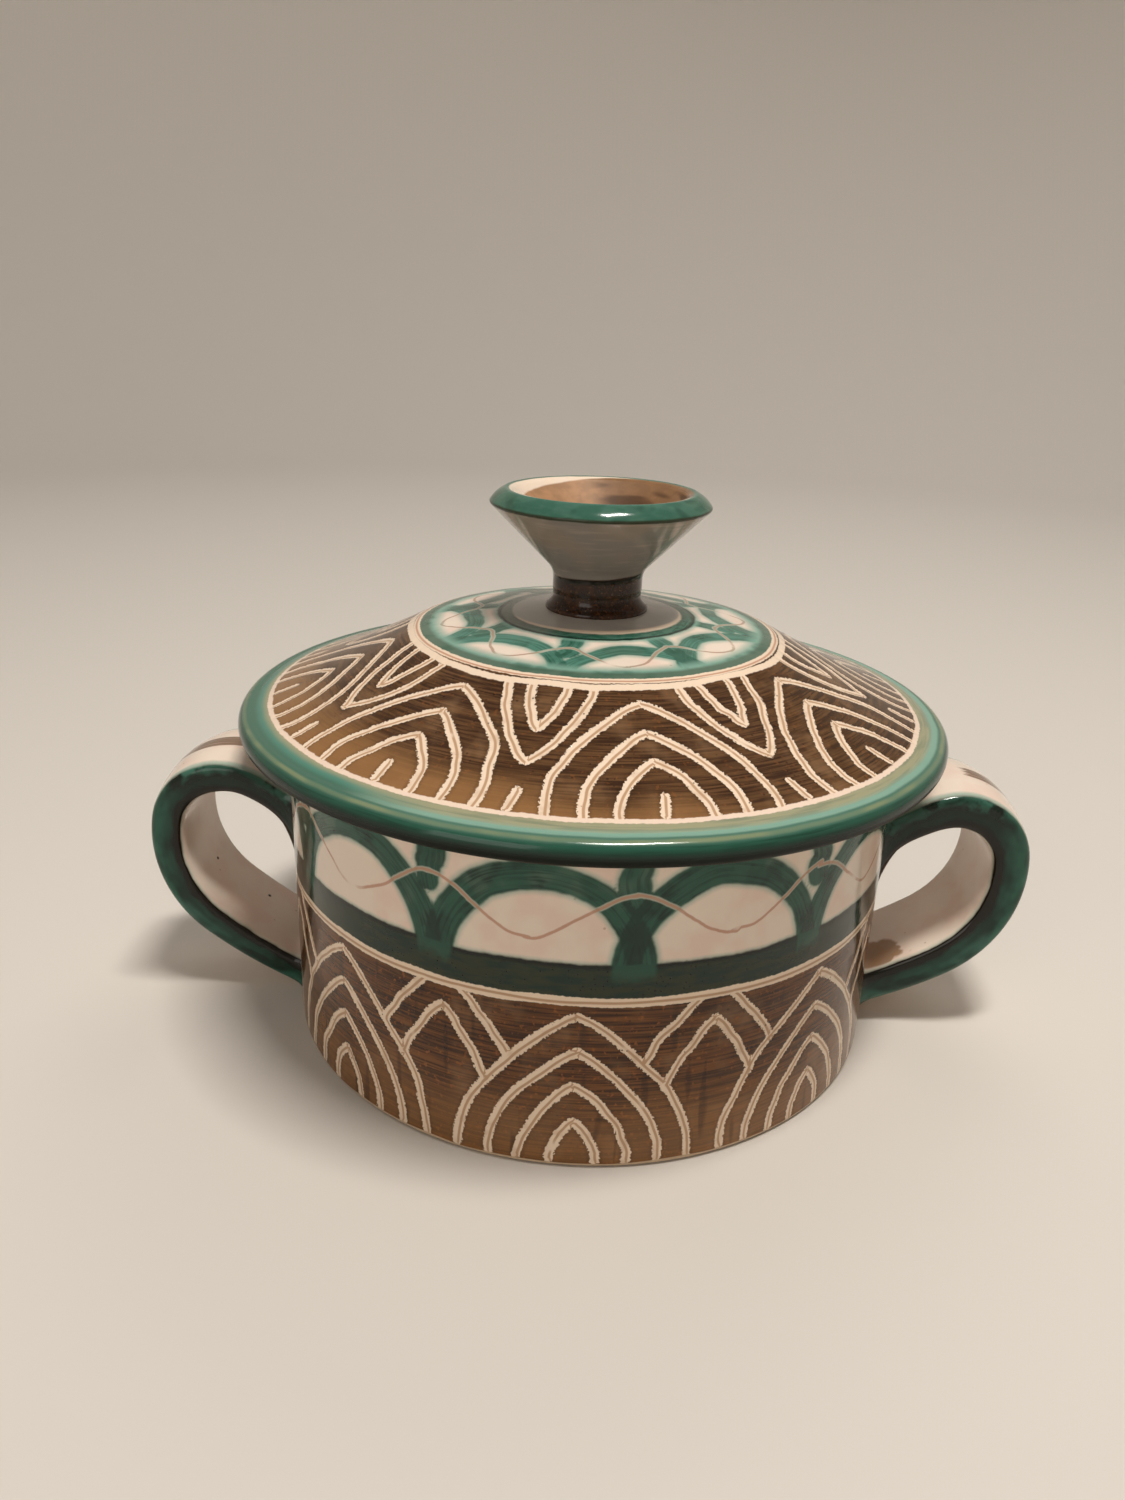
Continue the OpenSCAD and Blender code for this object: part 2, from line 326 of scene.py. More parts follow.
class Wiring:
    """Short calls that add nodes to a tree and give back what comes out of them."""

    def __init__(self, tree):
        self.tree = tree

    def feed(self, socket, source):
        """Sets a socket to a constant, or links what flows into it."""
        source = source.socket if isinstance(source, Flow) else source
        if isinstance(source, bpy.types.NodeSocket):
            self.tree.links.new(source, socket)
        else:
            socket.default_value = source

    def node(self, kind, feeds=None, **settings):
        made = self.tree.nodes.new(kind)
        for name, value in settings.items():
            setattr(made, name, value)
        for place, source in (feeds or {}).items():
            self.feed(made.inputs[place], source)
        return made

    def take(self, kind, feeds=None, out=0, **settings):
        """What comes out of a new node at one of its outputs."""
        return Flow(self, self.node(kind, feeds, **settings).outputs[out])

    def math(self, operation, *values, clamp=False):
        return self.take("ShaderNodeMath", dict(enumerate(values)), operation=operation, use_clamp=clamp)

    def larger(self, a, b):
        return self.math("MAXIMUM", a, b)

    def vector(self, x, y, z):
        return self.take("ShaderNodeCombineXYZ", {0: x, 1: y, 2: z})

    def split(self, vector):
        made = self.node("ShaderNodeSeparateXYZ", {0: vector})
        return [Flow(self, socket) for socket in made.outputs]


# ---- turning the clay, in Geometry Nodes ----

WHEEL_INPUTS = {
    "Outline": "NodeSocketObject",
    "Columns": "NodeSocketInt",
    "Unevenness": "NodeSocketFloat",
    "Ripple": "NodeSocketFloat",
    "Seed": "NodeSocketFloat",
    "Glaze": "NodeSocketMaterial",
}
LUMPS_ROUND, LUMPS_UP = 1.3, 22  # how closely slow lumps follow each other, round and upwards
RINGS_ROUND, RINGS_UP = 0.35, 190  # and the rings that fingers leave
STILL_R = 20 * MM  # inside this radius the clay runs ever truer
WELD = 0.004 * MM


def wheel_tree():
    """The potter's wheel: turns an outline about the axis and leaves it a little uneven."""
    tree = bpy.data.node_groups.new("potters_wheel", "GeometryNodeTree")
    tree.is_modifier = True
    for name, kind in WHEEL_INPUTS.items():
        tree.interface.new_socket(name=name, in_out="INPUT", socket_type=kind)
    tree.interface.new_socket(name="Clay", in_out="OUTPUT", socket_type="NodeSocketGeometry")
    w = Wiring(tree)
    given = {socket.name: Flow(w, socket) for socket in w.node("NodeGroupInput").outputs}
    feeds = {"Object": given["Outline"]}
    line = w.take("GeometryNodeObjectInfo", feeds, "Geometry", transform_space="ORIGINAL")
    rings = w.take("GeometryNodeAttributeDomainSize", {"Geometry": line}, "Point Count", component="MESH")
    feeds = {"Vertices X": given["Columns"] + 1, "Vertices Y": rings}
    grid = w.take("GeometryNodeMeshGrid", feeds, "Mesh")
    index = w.take("GeometryNodeInputIndex")
    ring = w.math("MODULO", index, rings)
    column = w.math("FLOOR", index / rings)
    angle = column / given["Columns"] * TURN

    def on_line(kind, value):
        feeds = {"Geometry": line, "Value": value, "Index": ring}
        return w.take("GeometryNodeSampleIndex", feeds, "Value", data_type=kind, domain="POINT")

    run = w.take("GeometryNodeInputNamedAttribute", {"Name": "run"}, "Attribute", data_type="FLOAT")
    run = on_line("FLOAT", run)
    radius, _, height = w.split(on_line("FLOAT_VECTOR", w.take("GeometryNodeInputPosition")))
    cosine, sine = w.math("COSINE", angle), w.math("SINE", angle)

    def unevenness(often_round, often_up):
        place = w.vector(cosine * often_round, sine * often_round, height * often_up)
        feeds = {"Vector": place, "W": given["Seed"], "Scale": 1, "Detail": 1}
        return (w.take("ShaderNodeTexNoise", feeds, "Fac", noise_dimensions="4D") - 0.5) * 2

    lumps = unevenness(LUMPS_ROUND, LUMPS_UP) * given["Unevenness"]
    finger_rings = unevenness(RINGS_ROUND, RINGS_UP) * given["Ripple"]
    swelled = radius + (lumps + finger_rings) * w.math("DIVIDE", radius, STILL_R, clamp=True)
    place = w.vector(swelled * cosine, swelled * sine, height + finger_rings * 0.5)
    clay = w.take("GeometryNodeSetPosition", {"Geometry": grid, "Position": place})
    feeds = {"Name": "run", "Geometry": clay, "Value": run}
    clay = w.take("GeometryNodeStoreNamedAttribute", feeds, data_type="FLOAT", domain="POINT")
    clay = w.take("GeometryNodeMergeByDistance", {"Distance": WELD, "Geometry": clay})
    clay = w.take("GeometryNodeSetShadeSmooth", {"Geometry": clay})
    clay = w.take("GeometryNodeRealizeInstances", {"Geometry": clay})
    clay = w.take("GeometryNodeSetMaterial", {"Geometry": clay, "Material": given["Glaze"]})
    w.node("NodeGroupOutput", {0: clay})
    return tree


def put_in_scene(name, data):
    made = bpy.data.objects.new(name, data)
    bpy.context.scene.collection.objects.link(made)
    return made


def outline_object(name, line, run):
    mesh = bpy.data.meshes.new(name)
    points = [(r * MM, 0, z * MM) for r, z in line]
    mesh.from_pydata(points, [(k, k + 1) for k in range(len(points) - 1)], [])
    write_field(mesh, "run", run)
    return put_in_scene(name, mesh)


def turned(name, shape, columns, glaze, unevenness, ripple, seed):
    """A closed turned piece as a plain mesh, with the attribute run along its outline."""
    line, run, _ = shape
    guide = outline_object(name + "_outline", line, run)
    piece = put_in_scene(name, bpy.data.meshes.new(name))
    wheel = piece.modifiers.new("wheel", "NODES")
    wheel.node_group = WHEEL
    given = {
        "Outline": guide,
        "Columns": columns,
        "Unevenness": unevenness * MM,
        "Ripple": ripple * MM,
        "Seed": float(seed),
        "Glaze": glaze,
    }
    for item in WHEEL.interface.items_tree:
        if item.in_out == "INPUT":
            wheel[item.identifier] = given[item.name]
    bpy.context.view_layer.update()
    fired = piece.evaluated_get(bpy.context.evaluated_depsgraph_get())
    mesh = bpy.data.meshes.new_from_object(fired)
    piece.modifiers.clear()
    piece.data = mesh
    mesh.name = name
    bpy.data.objects.remove(guide)
    face_out(mesh)
    return piece


# ---- reading and writing meshes ----


def read_rows(items, what):
    """Places or directions of all items, as rows of x, y and z."""
    flat = np.empty(len(items) * 3, np.float32)
    items.foreach_get(what, flat)
    return flat.reshape(-1, 3).astype(float)


def spots(mesh):
    """Vertex places in millimetres."""
    return read_rows(mesh.vertices, "co") / MM


def read_field(mesh, name):
    flat = np.empty(len(mesh.vertices), np.float32)
    mesh.attributes[name].data.foreach_get("value", flat)
    return flat.astype(float)


def write_field(mesh, name, values):
    kept = mesh.attributes.new(name, "FLOAT", "POINT")
    kept.data.foreach_set("value", np.ascontiguousarray(values, np.float32))


def face_out(mesh):
    """Turns the faces round if they point into the piece."""
    mesh.calc_loop_triangles()
    corners = np.empty(len(mesh.loop_triangles) * 3, np.int32)
    mesh.loop_triangles.foreach_get("vertices", corners)
    a, b, c = (spots(mesh)[corners.reshape(-1, 3)[:, k]] for k in range(3))
    if np.einsum("ij,ij->i", a, np.cross(b, c)).sum() < 0:
        mesh.flip_normals()


def ring_mesh(name, points, around, ends=()):
    """Rings of points, each closed on itself, with smooth faces between them."""
    faces = []
    for i in range(len(points) // around - 1):
        for j in range(around):
            low, high = i * around, (i + 1) * around
            after = (j + 1) % around
            faces.append((low + j, high + j, high + after, low + after))
    mesh = bpy.data.meshes.new(name)
    mesh.from_pydata(points, [], faces + list(ends))
    mesh.polygons.foreach_set("use_smooth", np.ones(len(mesh.polygons), bool))
    mesh.update()
    return mesh


# ---- maps that unroll the pieces ----

MAP_EDGE, MAP_SPAN = 0.01, 0.98  # margin of the map, and what is left between two margins
STRAP_SPAN, END_R = 0.68, 0.12  # height of a strap's strip, and the radius of its ends above it


def face_corners(mesh):
    """For each face corner: its vertex, and the face that it belongs to."""
    vertex = np.empty(len(mesh.loops), np.int32)
    mesh.loops.foreach_get("vertex_index", vertex)
    total = np.empty(len(mesh.polygons), np.int32)
    mesh.polygons.foreach_get("loop_total", total)
    return vertex, np.repeat(np.arange(len(mesh.polygons)), total)


def face_mean(values, face):
    return (np.bincount(face, values) / np.bincount(face))[face]


def write_map(mesh, u, v):
    layer = mesh.uv_layers.new(name="OFBake")
    layer.data.foreach_set("uv", np.column_stack((u, v)).astype(np.float32).ravel())
    mesh.uv_layers.active = layer


def unrolled(mesh):
    """For each face corner: its angle without a jump inside a face, its place, its run along the
    outline, and the middle angle and mean run of its face."""
    vertex, face = face_corners(mesh)
    p = spots(mesh)[vertex]
    middle = np.arctan2(face_mean(p[:, 1], face), face_mean(p[:, 0], face))
    own = np.arctan2(p[:, 1], p[:, 0])
    own = np.where(np.hypot(p[:, 0], p[:, 1]) < 0.01, middle, own)
    angle = middle + (own - middle + math.pi) % TURN - math.pi
    run = read_field(mesh, "run")[vertex]
    return angle, p, run, middle, face_mean(run, face)


def lay_bowl_map(mesh, shape):
    """The outside in two strips, the inside in one narrower strip, and two small discs."""
    angle, p, run, middle, at = unrolled(mesh)
    marks = shape[2]
    foot, rim_end, corner_end = marks[1], marks[4], marks[6]
    per_mm = MAP_SPAN / (math.pi * bowl_r)
    front = middle < 0
    along = np.where(front, angle + math.pi, angle) / math.pi
    strip_h = (rim_end - foot) * per_mm
    u = MAP_EDGE + MAP_SPAN * along
    v = np.where(front, MAP_EDGE, 2 * MAP_EDGE + strip_h) + (run - foot) * per_mm
    inside = at > rim_end
    inner_h = (corner_end - rim_end) * per_mm * 0.5
    u = np.where(inside, MAP_EDGE + MAP_SPAN * (angle + math.pi) / TURN, u)
    v = np.where(inside, 3 * MAP_EDGE + 2 * strip_h + (run - rim_end) * per_mm * 0.5, v)
    left = 1 - (4 * MAP_EDGE + 2 * strip_h + inner_h)
    small = 0.48 * left / bowl_r
    for chosen, centre in ((at > corner_end, 0.2), (at < foot, 0.5)):
        u = np.where(chosen, centre + p[:, 0] * small, u)
        v = np.where(chosen, 1 - left / 2 + p[:, 1] * small, v)
    write_map(mesh, u, v)


def lay_lid_map(mesh, shape):
    """The top as a large disc, by distance along the clay, and the underside as a small one."""
    angle, _, run, _, at = unrolled(mesh)
    total, top_end = shape[1][-1], shape[2][4]
    large, small = (0.41, 0.4), (0.9, 0.095)  # middle and radius of each disc
    under = at > top_end
    far = np.where(under, (total - run) / (total - top_end) * small[1], run / top_end * large[1])
    centre = np.where(under, small[0], large[0])
    write_map(mesh, centre + far * np.cos(angle), centre + far * np.sin(angle))


def lay_round_map(mesh, shape):
    """A small turned piece unrolled in one strip."""
    angle, _, run, _, _ = unrolled(mesh)
    share = run / shape[1][-1]
    write_map(mesh, MAP_EDGE + MAP_SPAN * (angle + math.pi) / TURN, MAP_EDGE + MAP_SPAN * share)


def lay_strap_map(mesh, rings, around):
    """The strap unrolled, its length across the map and its section up it, above them the two ends."""
    vertex, face = face_corners(mesh)
    u = (vertex // around) / (rings - 1)
    v = (vertex % around) / around
    closing = (v == 0) & (face_mean(v, face) > 0.3) & (face_mean((v > 0.8).astype(float), face) > 0.2)
    v = np.where(closing, 1.0, v)
    end = np.bincount(face)[face] > 4
    u_end = np.where(face_mean(u, face) < 0.5, 0.2, 0.6) + END_R * np.cos(v * TURN)
    v_end = 0.86 + END_R * np.sin(v * TURN)
    u = np.where(end, u_end, MAP_EDGE + MAP_SPAN * u)
    v = np.where(end, v_end, MAP_EDGE + STRAP_SPAN * v)
    write_map(mesh, u, v)


# ---- marks drawn on the clay ----

FAR = 7.0  # marks are felt no further away than this


def wobble(count, amount, seed):
    """A slow unsteadiness of the hand, along a line of count points."""
    rng = np.random.default_rng(seed)
    t = np.linspace(0, 1, count)
    waves = [rng.normal() * np.sin(TURN * (k * t + rng.random())) / k for k in (1, 2, 3, 5)]
    return amount * np.sum(waves, axis=0)


def nearest_on(points, line):
    """Distance from each point to a line, how far along it that is, and the unit heading there."""
    step = np.diff(line, axis=0)
    length = np.linalg.norm(step, axis=1)
    run = runs(line)
    close = np.linalg.norm(points[:, None] - line[None], axis=2).argmin(1)
    best = np.full(len(points), 1e9)
    along = np.zeros(len(points))
    heading = np.zeros((len(points), 3))
    for shift in (-1, 0):
        k = np.clip(close + shift, 0, len(step) - 1)
        away = points - line[k]
        t = np.clip(np.einsum("ij,ij->i", away, step[k]) / np.maximum(length[k], 1e-9) ** 2, 0, 1)
        gap = np.linalg.norm(away - step[k] * t[:, None], axis=1)
        nearer = gap < best
        best[nearer] = gap[nearer]
        along[nearer] = (run[k] + t * length[k])[nearer]
        heading[nearer] = (step[k] / np.maximum(length[k], 1e-9)[:, None])[nearer]
    return best, along, heading


def beside(points, normals, line, far):
    """The points within far of the box round a line, and for each of them its distance to the
    line, how far along the line it is and its place across it."""
    low, high = line.min(0) - far, line.max(0) + far
    chosen = np.flatnonzero(((points > low) & (points < high)).all(1))
    close_by = points[chosen]
    gap, along, heading = nearest_on(close_by, line)
    on_it = line[np.clip(np.searchsorted(runs(line), along), 0, len(line) - 1)]
    across = np.einsum("ij,ij->i", np.cross(heading, normals[chosen]), close_by - on_it)
    return chosen, gap, along, across


def line_fields(points, normals, lines):
    """Distance to the nearest of some thin lines, and the same with a sign for its side."""
    gap = np.full(len(points), FAR)
    side = np.full(len(points), FAR)
    for line in lines:
        chosen, own, _, across = beside(points, normals, line, FAR)
        better = own < gap[chosen]
        spot = chosen[better]
        gap[spot] = own[better]
        side[spot] = (own * np.sign(-across))[better]
    return gap, side


SWELL, SWELLS, TAPER = 0.10, 1.3, 0.12  # how a stroke's width swells on its way and tapers off
LAP_SOFT = 0.8
BRISTLE_APART = 20  # keeps the bristles of one stroke unlike those of the next


def stroke_fields(points, normals, strokes, half):
    """Brush strokes: depth to the nearest edge (negative in the paint), place across and along
    the bristles, and how many strokes lie on each other."""
    edge = np.full(len(points), FAR)
    across, along, laps = np.zeros((3, len(points)))
    for k, line in enumerate(strokes):
        chosen, gap, run, sway = beside(points, normals, line, FAR + half)
        t = run / runs(line)[-1]
        own = gap - half * (1 + SWELL * np.sin(TURN * (t * SWELLS + k * 0.37)) - TAPER * t)
        laps[chosen] += np.clip(0.5 - own / LAP_SOFT, 0, 1)
        better = own < edge[chosen]
        spot = chosen[better]
        edge[spot] = own[better]
        across[spot] = sway[better] + BRISTLE_APART * k
        along[spot] = run[better]
    return edge, across, along, laps


# ---- motifs: petals and buds scratched in the brown, arcades and a thin wave on the white ----

PETAL_SWELL = 0.8
PETAL_POINTS = 40
LID_PETALS, BOWL_PETALS = 8, 8
LID_START = 0.2  # where the lid's marks begin, as an angle
RIM_PETALS = ((24.5, 52.0), (17.0, 59.5), (9.8, 67.0))  # half width and tip of each in a nest
RIM_BUDS = ((9.4, 68.3), (4.0, 59.5))
WALL_PETALS = ((26.8, 40.5), (19.6, 31.5), (12.4, 22.5), (5.2, 13.0))
PETALS_BEHIND = ((24.0, 47.0), (15.0, 38.0))
PETAL_FOOT_Z = 2.0
BUD_GAP = 2.4
SEED_NEAR, SEED_FAR = 1, 6  # ends of a seed, from the lid's cone foot inwards
SEED_BEND, SEED_POINTS = 0.006, 8
HAND, RIM_HAND = 0.07, 0.06  # how unsteady a petal's line is, for a half width of 1
BUD_HAND, BEHIND_HAND = 0.2, 0.25
OVERLAP = 0.6


def petal(half, top, foot):
    """Half outlines of a pointed petal that stands on the height foot."""
    t = np.linspace(0, 1, PETAL_POINTS)
    x = half * np.cos(math.pi / 2 * t) ** PETAL_SWELL
    z = foot + (top - foot) * t
    return [np.column_stack((s * x, z)) for s in (-1, 1)]


def nested(petals, foot, hand, seed, power=0.5):
    """The half outlines of petals inside each other, drawn by an unsteady hand."""
    for n, (half, tip) in enumerate(petals):
        for m, part in enumerate(petal(half, tip, foot)):
            part[:, 0] += wobble(len(part), hand * half ** power, seed + n * 2 + m)
            yield part


def rim_petal_marks():
    """Petals round the lid's cone that stand on its edge, with buds between their tips."""
    bay = TURN / LID_PETALS
    edge_r, top_r = cone_foot[0] - 0.6, SHOULDER_R + BUD_GAP
    marks = []
    for k in range(LID_PETALS):
        nest, between = LID_START + k * bay, LID_START + (k + 0.5) * bay
        parts = [(nest, part) for part in nested(RIM_PETALS, edge_r, RIM_HAND, 100 + k * 20)]
        parts += [(between, part) for part in nested(RIM_BUDS, top_r, BUD_HAND, 400 + k * 20, 0)]
        marks += [on_lid(at + part[:, 0] / part[:, 1], part[:, 1]) for at, part in parts]
        r = np.linspace(edge_r - SEED_NEAR, edge_r - SEED_FAR, SEED_POINTS)
        bend = SEED_BEND * math.sin(k * 2.3) * np.linspace(-1, 1, SEED_POINTS)
        marks.append(on_lid(nest + bend, r))
        marks.append(on_lid(between - bend, r))
    return marks


def wall_petal_marks():
    """Nested petals round the bowl, with the tips of a second row behind them."""
    pitch = TURN * bowl_r / BOWL_PETALS
    widest, top = WALL_PETALS[0]
    marks = []
    for k in range(BOWL_PETALS):
        for part in nested(WALL_PETALS, PETAL_FOOT_Z, HAND, 700 + k * 20):
            marks.append(on_bowl(k * pitch + part[:, 0], part[:, 1]))
        for n, (half, tip) in enumerate(PETALS_BEHIND):
            for m, part in enumerate(petal(half, tip, PETAL_FOOT_Z)):
                rise = np.clip((part[:, 1] - PETAL_FOOT_Z) / (top - PETAL_FOOT_Z), 0, 1)
                covered = widest * np.cos(math.pi / 2 * rise) ** PETAL_SWELL
                shown = (pitch / 2 - np.abs(part[:, 0]) > covered - OVERLAP) | (part[:, 1] > top)
                part = part[shown & (part[:, 1] < CREAM_LINE_Z)]
                if len(part) > 2:
                    part[:, 0] += wobble(len(part), BEHIND_HAND, 900 + k * 9 + n * 2 + m)
                    marks.append(on_bowl((k + 0.5) * pitch + part[:, 0], part[:, 1]))
    return marks


ARCH_POINTS, WAVE_POINTS = 60, 40
ARCH_FULL = 0.9  # below 1 an arch is fuller than half a wave
TONGUE = np.linspace(1.35, 0.78, 14)  # heights of a tongue, from its root to its tip


def arcade(count, seed):
    """Arches side by side and a tongue hanging between each two, as [turn, rise 0..1] lines."""
    lines = []
    bay = TURN / count
    for k in range(count):
        t = np.linspace(0, math.pi, ARCH_POINTS)
        sway = 0.05 * bay * math.sin(k * 2.1 + seed)
        rise = np.sin(t) ** ARCH_FULL + wobble(ARCH_POINTS, 0.02, seed + k)
        lines.append((k * bay + sway - 0.5 * bay * np.cos(t), rise))
        sway = wobble(len(TONGUE), 0.01, seed + 40 + k)
        lines.append(((k + 0.5) * bay + sway, TONGUE))
    return lines


def wave_line(count, seed):
    """A thin wave round the pot in short pieces, as [turn, height -1..1] lines."""
    lines = []
    for k in range(count * 2):
        t = np.linspace(k - 0.02, k + 1.02, WAVE_POINTS)
        height = np.cos(math.pi * t) + wobble(WAVE_POINTS, 0.05, seed + k)
        lines.append((t * math.pi / count, height))
    return lines


def on_bowl(along, z):
    """Places on the bowl's outside, from millimetres along the wall and a height."""
    angle = along / bowl_r
    low = np.clip(BASE_EDGE_R - z, 0, BASE_EDGE_R)
    r = bowl_r - BASE_EDGE_R + np.sqrt(BASE_EDGE_R ** 2 - low ** 2)
    return np.column_stack((r * np.cos(angle), r * np.sin(angle), z))


def on_lid(angle, r):
    """Places on the lid's top, from an angle and a radius."""
    z = np.interp(r, LID_TOP[:, 0], LID_TOP[:, 1])
    return np.column_stack((r * np.cos(angle), r * np.sin(angle), z))


CUT_D, PAINT_T = 0.13, 0.05
CUT_SHOULDER = 1.25
PAINT_SOFT = 2


def mark_piece(piece, cuts, strokes, half, fine):
    """Writes the marks on a piece as fields that its glaze reads, and cuts them in lightly."""
    mesh = piece.data
    p, n = spots(mesh), read_rows(mesh.vertex_normals, "vector")
    cut, cut_side = line_fields(p, n, cuts)
    thin, thin_side = line_fields(p, n, fine)
    edge, across, along, laps = stroke_fields(p, n, strokes, half)
    names = ("cut", "cut_side", "thin", "thin_side", "stroke", "across", "along", "laps")
    for name, values in zip(names, (cut, cut_side, thin, thin_side, edge, across, along, laps)):
        write_field(mesh, name, values)
    groove = np.clip(CUT_SHOULDER - cut / CUT_W * 2, 0, 1) * CUT_D
    body = np.clip(-edge / PAINT_SOFT, 0, 1) * PAINT_T
    places = p + n * (body - groove)[:, None]
    mesh.vertices.foreach_set("co", (places * MM).astype(np.float32).ravel())
    mesh.update()


# ---- glazes ----


def tint(red, green, blue):
    """A colour as it looks on a screen, 0 to 255, in the linear light of a shader."""
    parts = [v / 255 for v in (red, green, blue)]
    return tuple(v / 12.92 if v < 0.04045 else ((v + 0.055) / 1.055) ** 2.4 for v in parts) + (1.0,)


WHITE = tint(228, 212, 196)
WHITE_PINK = tint(226, 202, 186)
CREAM = tint(230, 208, 184)
CREAM_SHADE = tint(182, 146, 114)
EDGE_CREAM = tint(196, 172, 144)
GREY = tint(136, 128, 121)
# painted light: the knob cone's grey glaze made lighter, for the disc round the knob where the knob
# shades it
PAINTED_LIT_GREY = tint(176, 169, 160)
BROWN = tint(96, 66, 38)
BROWN_DARK = tint(56, 33, 14)
BROWN_RICH = tint(112, 68, 28)
BROWN_DEEP = tint(52, 26, 5)
BROWN_TAN = tint(146, 112, 80)
BRUSH_GREY = tint(132, 106, 88)
RUST = tint(140, 80, 32)
NECK_DARK = tint(36, 18, 5)
NECK_BROWN = tint(62, 34, 12)
TERRACOTTA = tint(178, 122, 92)
WIRE_GREY = tint(158, 124, 100)
OLIVE_PALE = tint(128, 138, 104)
RIM_TAN = tint(150, 108, 66)
TEAL = tint(40, 84, 68)
TEAL_PALE = tint(78, 128, 112)
TEAL_MID = tint(66, 104, 88)
TEAL_DEEP = tint(19, 44, 34)
TEAL_GREY = tint(84, 108, 92)
TURQUOISE = tint(122, 162, 146)
OLIVE = tint(44, 50, 33)
OLIVE_BEIGE = tint(152, 150, 120)
BLACK_GREEN = tint(13, 19, 11)
BLACK_BROWN = tint(28, 15, 7)
TAN = tint(172, 130, 93)
BISCUIT = tint(206, 164, 128)
SPECK_SOFT = 0.02


class Glaze(Wiring):
    """A glaze over clay: a node tree for colour, gloss and the small unevenness of the melt."""

    def __init__(self, name, roughness):
        self.material = bpy.data.materials.new(name)
        self.material.use_nodes = True
        super().__init__(self.material.node_tree)
        self.tree.nodes.clear()
        self.shader = self.node("ShaderNodeBsdfPrincipled", {"Roughness": roughness, "IOR": 1.4})
        self.node("ShaderNodeOutputMaterial", {0: self.shader.outputs[0]})
        object_place = self.take("ShaderNodeTexCoord", out="Object")
        feeds = {0: object_place, "Scale": 1 / MM}
        self.place = self.take("ShaderNodeVectorMath", feeds, operation="SCALE")
        self.x, self.y, self.z = self.split(self.place)
        self.r = self.math("SQRT", self.x * self.x + self.y * self.y)

    def field(self, name):
        return self.take("ShaderNodeAttribute", out="Fac", attribute_type="GEOMETRY", attribute_name=name)

    def step(self, value, low, high, at=0):
        """0 below low, 1 above high and a soft change between, with both counted from at."""
        feeds = {"Value": value, "From Min": at + low, "From Max": at + high}
        return self.take("ShaderNodeMapRange", feeds, interpolation_type="SMOOTHSTEP")

    def fall(self, value, low, high, at=0):
        """1 below low, 0 above high."""
        return 1 - self.step(value, low, high, at)

    def band(self, value, low, high, soft, at=0):
        """1 between low and high, with edges as soft as asked."""
        inside = self.step(value, low - soft, low + soft, at)
        return inside * self.fall(value, high - soft, high + soft, at)

    def noise(self, size, detail=2, vector=None):
        """Noise with lumps about size millimetres wide, 0 to 1."""
        feeds = {"Vector": vector or self.place, "Scale": 1 / size, "Detail": detail}
        return self.take("ShaderNodeTexNoise", feeds, "Fac", noise_dimensions="3D")

    def shake(self, size, amount, detail=1, vector=None):
        """Noise about zero, in millimetres."""
        return (self.noise(size, detail, vector) - 0.5) * (2 * amount)

    def patches(self, size, low, high, detail=2):
        """Soft patches where the noise lies high."""
        return self.step(self.noise(size, detail), low, high)

    def drawn_out(self, length, width, up, detail=2, at=bowl_r):
        """Noise drawn out round the axis at a radius, as a brush leaves it on a turning pot."""
        around = at / length
        safe = self.larger(self.r, 0.1)
        place = self.vector(self.x / safe * around, self.y / safe * around, up / width)
        return self.noise(1, detail, place)

    def streaks(self, length, width, up, low, high, detail=2, at=bowl_r):
        """Soft streaks round the axis where that noise lies high."""
        return self.step(self.drawn_out(length, width, up, detail, at), low, high)

    def specks(self, size, share):
        """Scattered grains: 1 in a grain."""
        feeds = {"Vector": self.place, "Scale": 1 / size}
        apart = self.take("ShaderNodeTexVoronoi", feeds, "Distance", feature="F1")
        return self.fall(apart, share - SPECK_SOFT, share + SPECK_SOFT)

    def mix(self, share, a, b):
        """The colour a where share is 0 and b where it is 1."""
        return self.take("ShaderNodeMix", {0: share, 6: a, 7: b}, 2, data_type="RGBA", blend_type="MIX")

    def coats(self, colour, *coats):
        """A colour with coats of (share, colour) over it, the last one on top."""
        for share, tone in coats:
            colour = self.mix(share, colour, tone)
        return colour

    def shine(self, amount):
        self.feed(self.shader.inputs["Specular IOR Level"], amount)

    def fire(self, colour, height, gloss=None):
        """Sets the colour, the height in millimetres and, where given, the roughness."""
        self.feed(self.shader.inputs["Base Color"], colour)
        if gloss is not None:
            self.feed(self.shader.inputs["Roughness"], gloss)
        bump = self.take("ShaderNodeBump", {"Strength": 1, "Distance": MM, "Height": height})
        self.feed(self.shader.inputs["Normal"], bump)
        return self.material


MELT_WAVE, MELT_GRAIN = 0.04, 0.008
LINE_INSET = 0.05  # how deep a scratched or wiped line lies in the glaze
SHINE = 0.5


def melt(g):
    """The faint unevenness of a melted glaze, in millimetres."""
    return g.shake(7, MELT_WAVE) + g.shake(1.6, MELT_GRAIN)


def white_ground(g):
    """Tin-white glaze, a little pink where it lies thin."""
    return g.coats(WHITE, (g.patches(9, 0.42, 0.68), WHITE_PINK), (g.specks(5.5, 0.055) * 0.5, BROWN_TAN))


def brown_ground(g, up, warm, thin=BROWN, thick=BROWN_DARK):
    """Brown slip brushed on round the pot: fine streaks, thin warm places and dark pools."""
    streaks = g.streaks(16, 0.55, up, 0.36, 0.64, 3)
    pools = g.streaks(26, 3.5, up, 0.5, 0.72)
    return g.coats(
        thick,
        (streaks, thin),
        (pools * 0.55, thick),
        (g.patches(11, 0.5, 0.76, 3) * 0.45, BROWN_TAN),
        (g.patches(1.1, 0.6, 0.72) * warm, RUST),
        (g.specks(2.4, 0.12) * 0.55, BLACK_BROWN),
    )


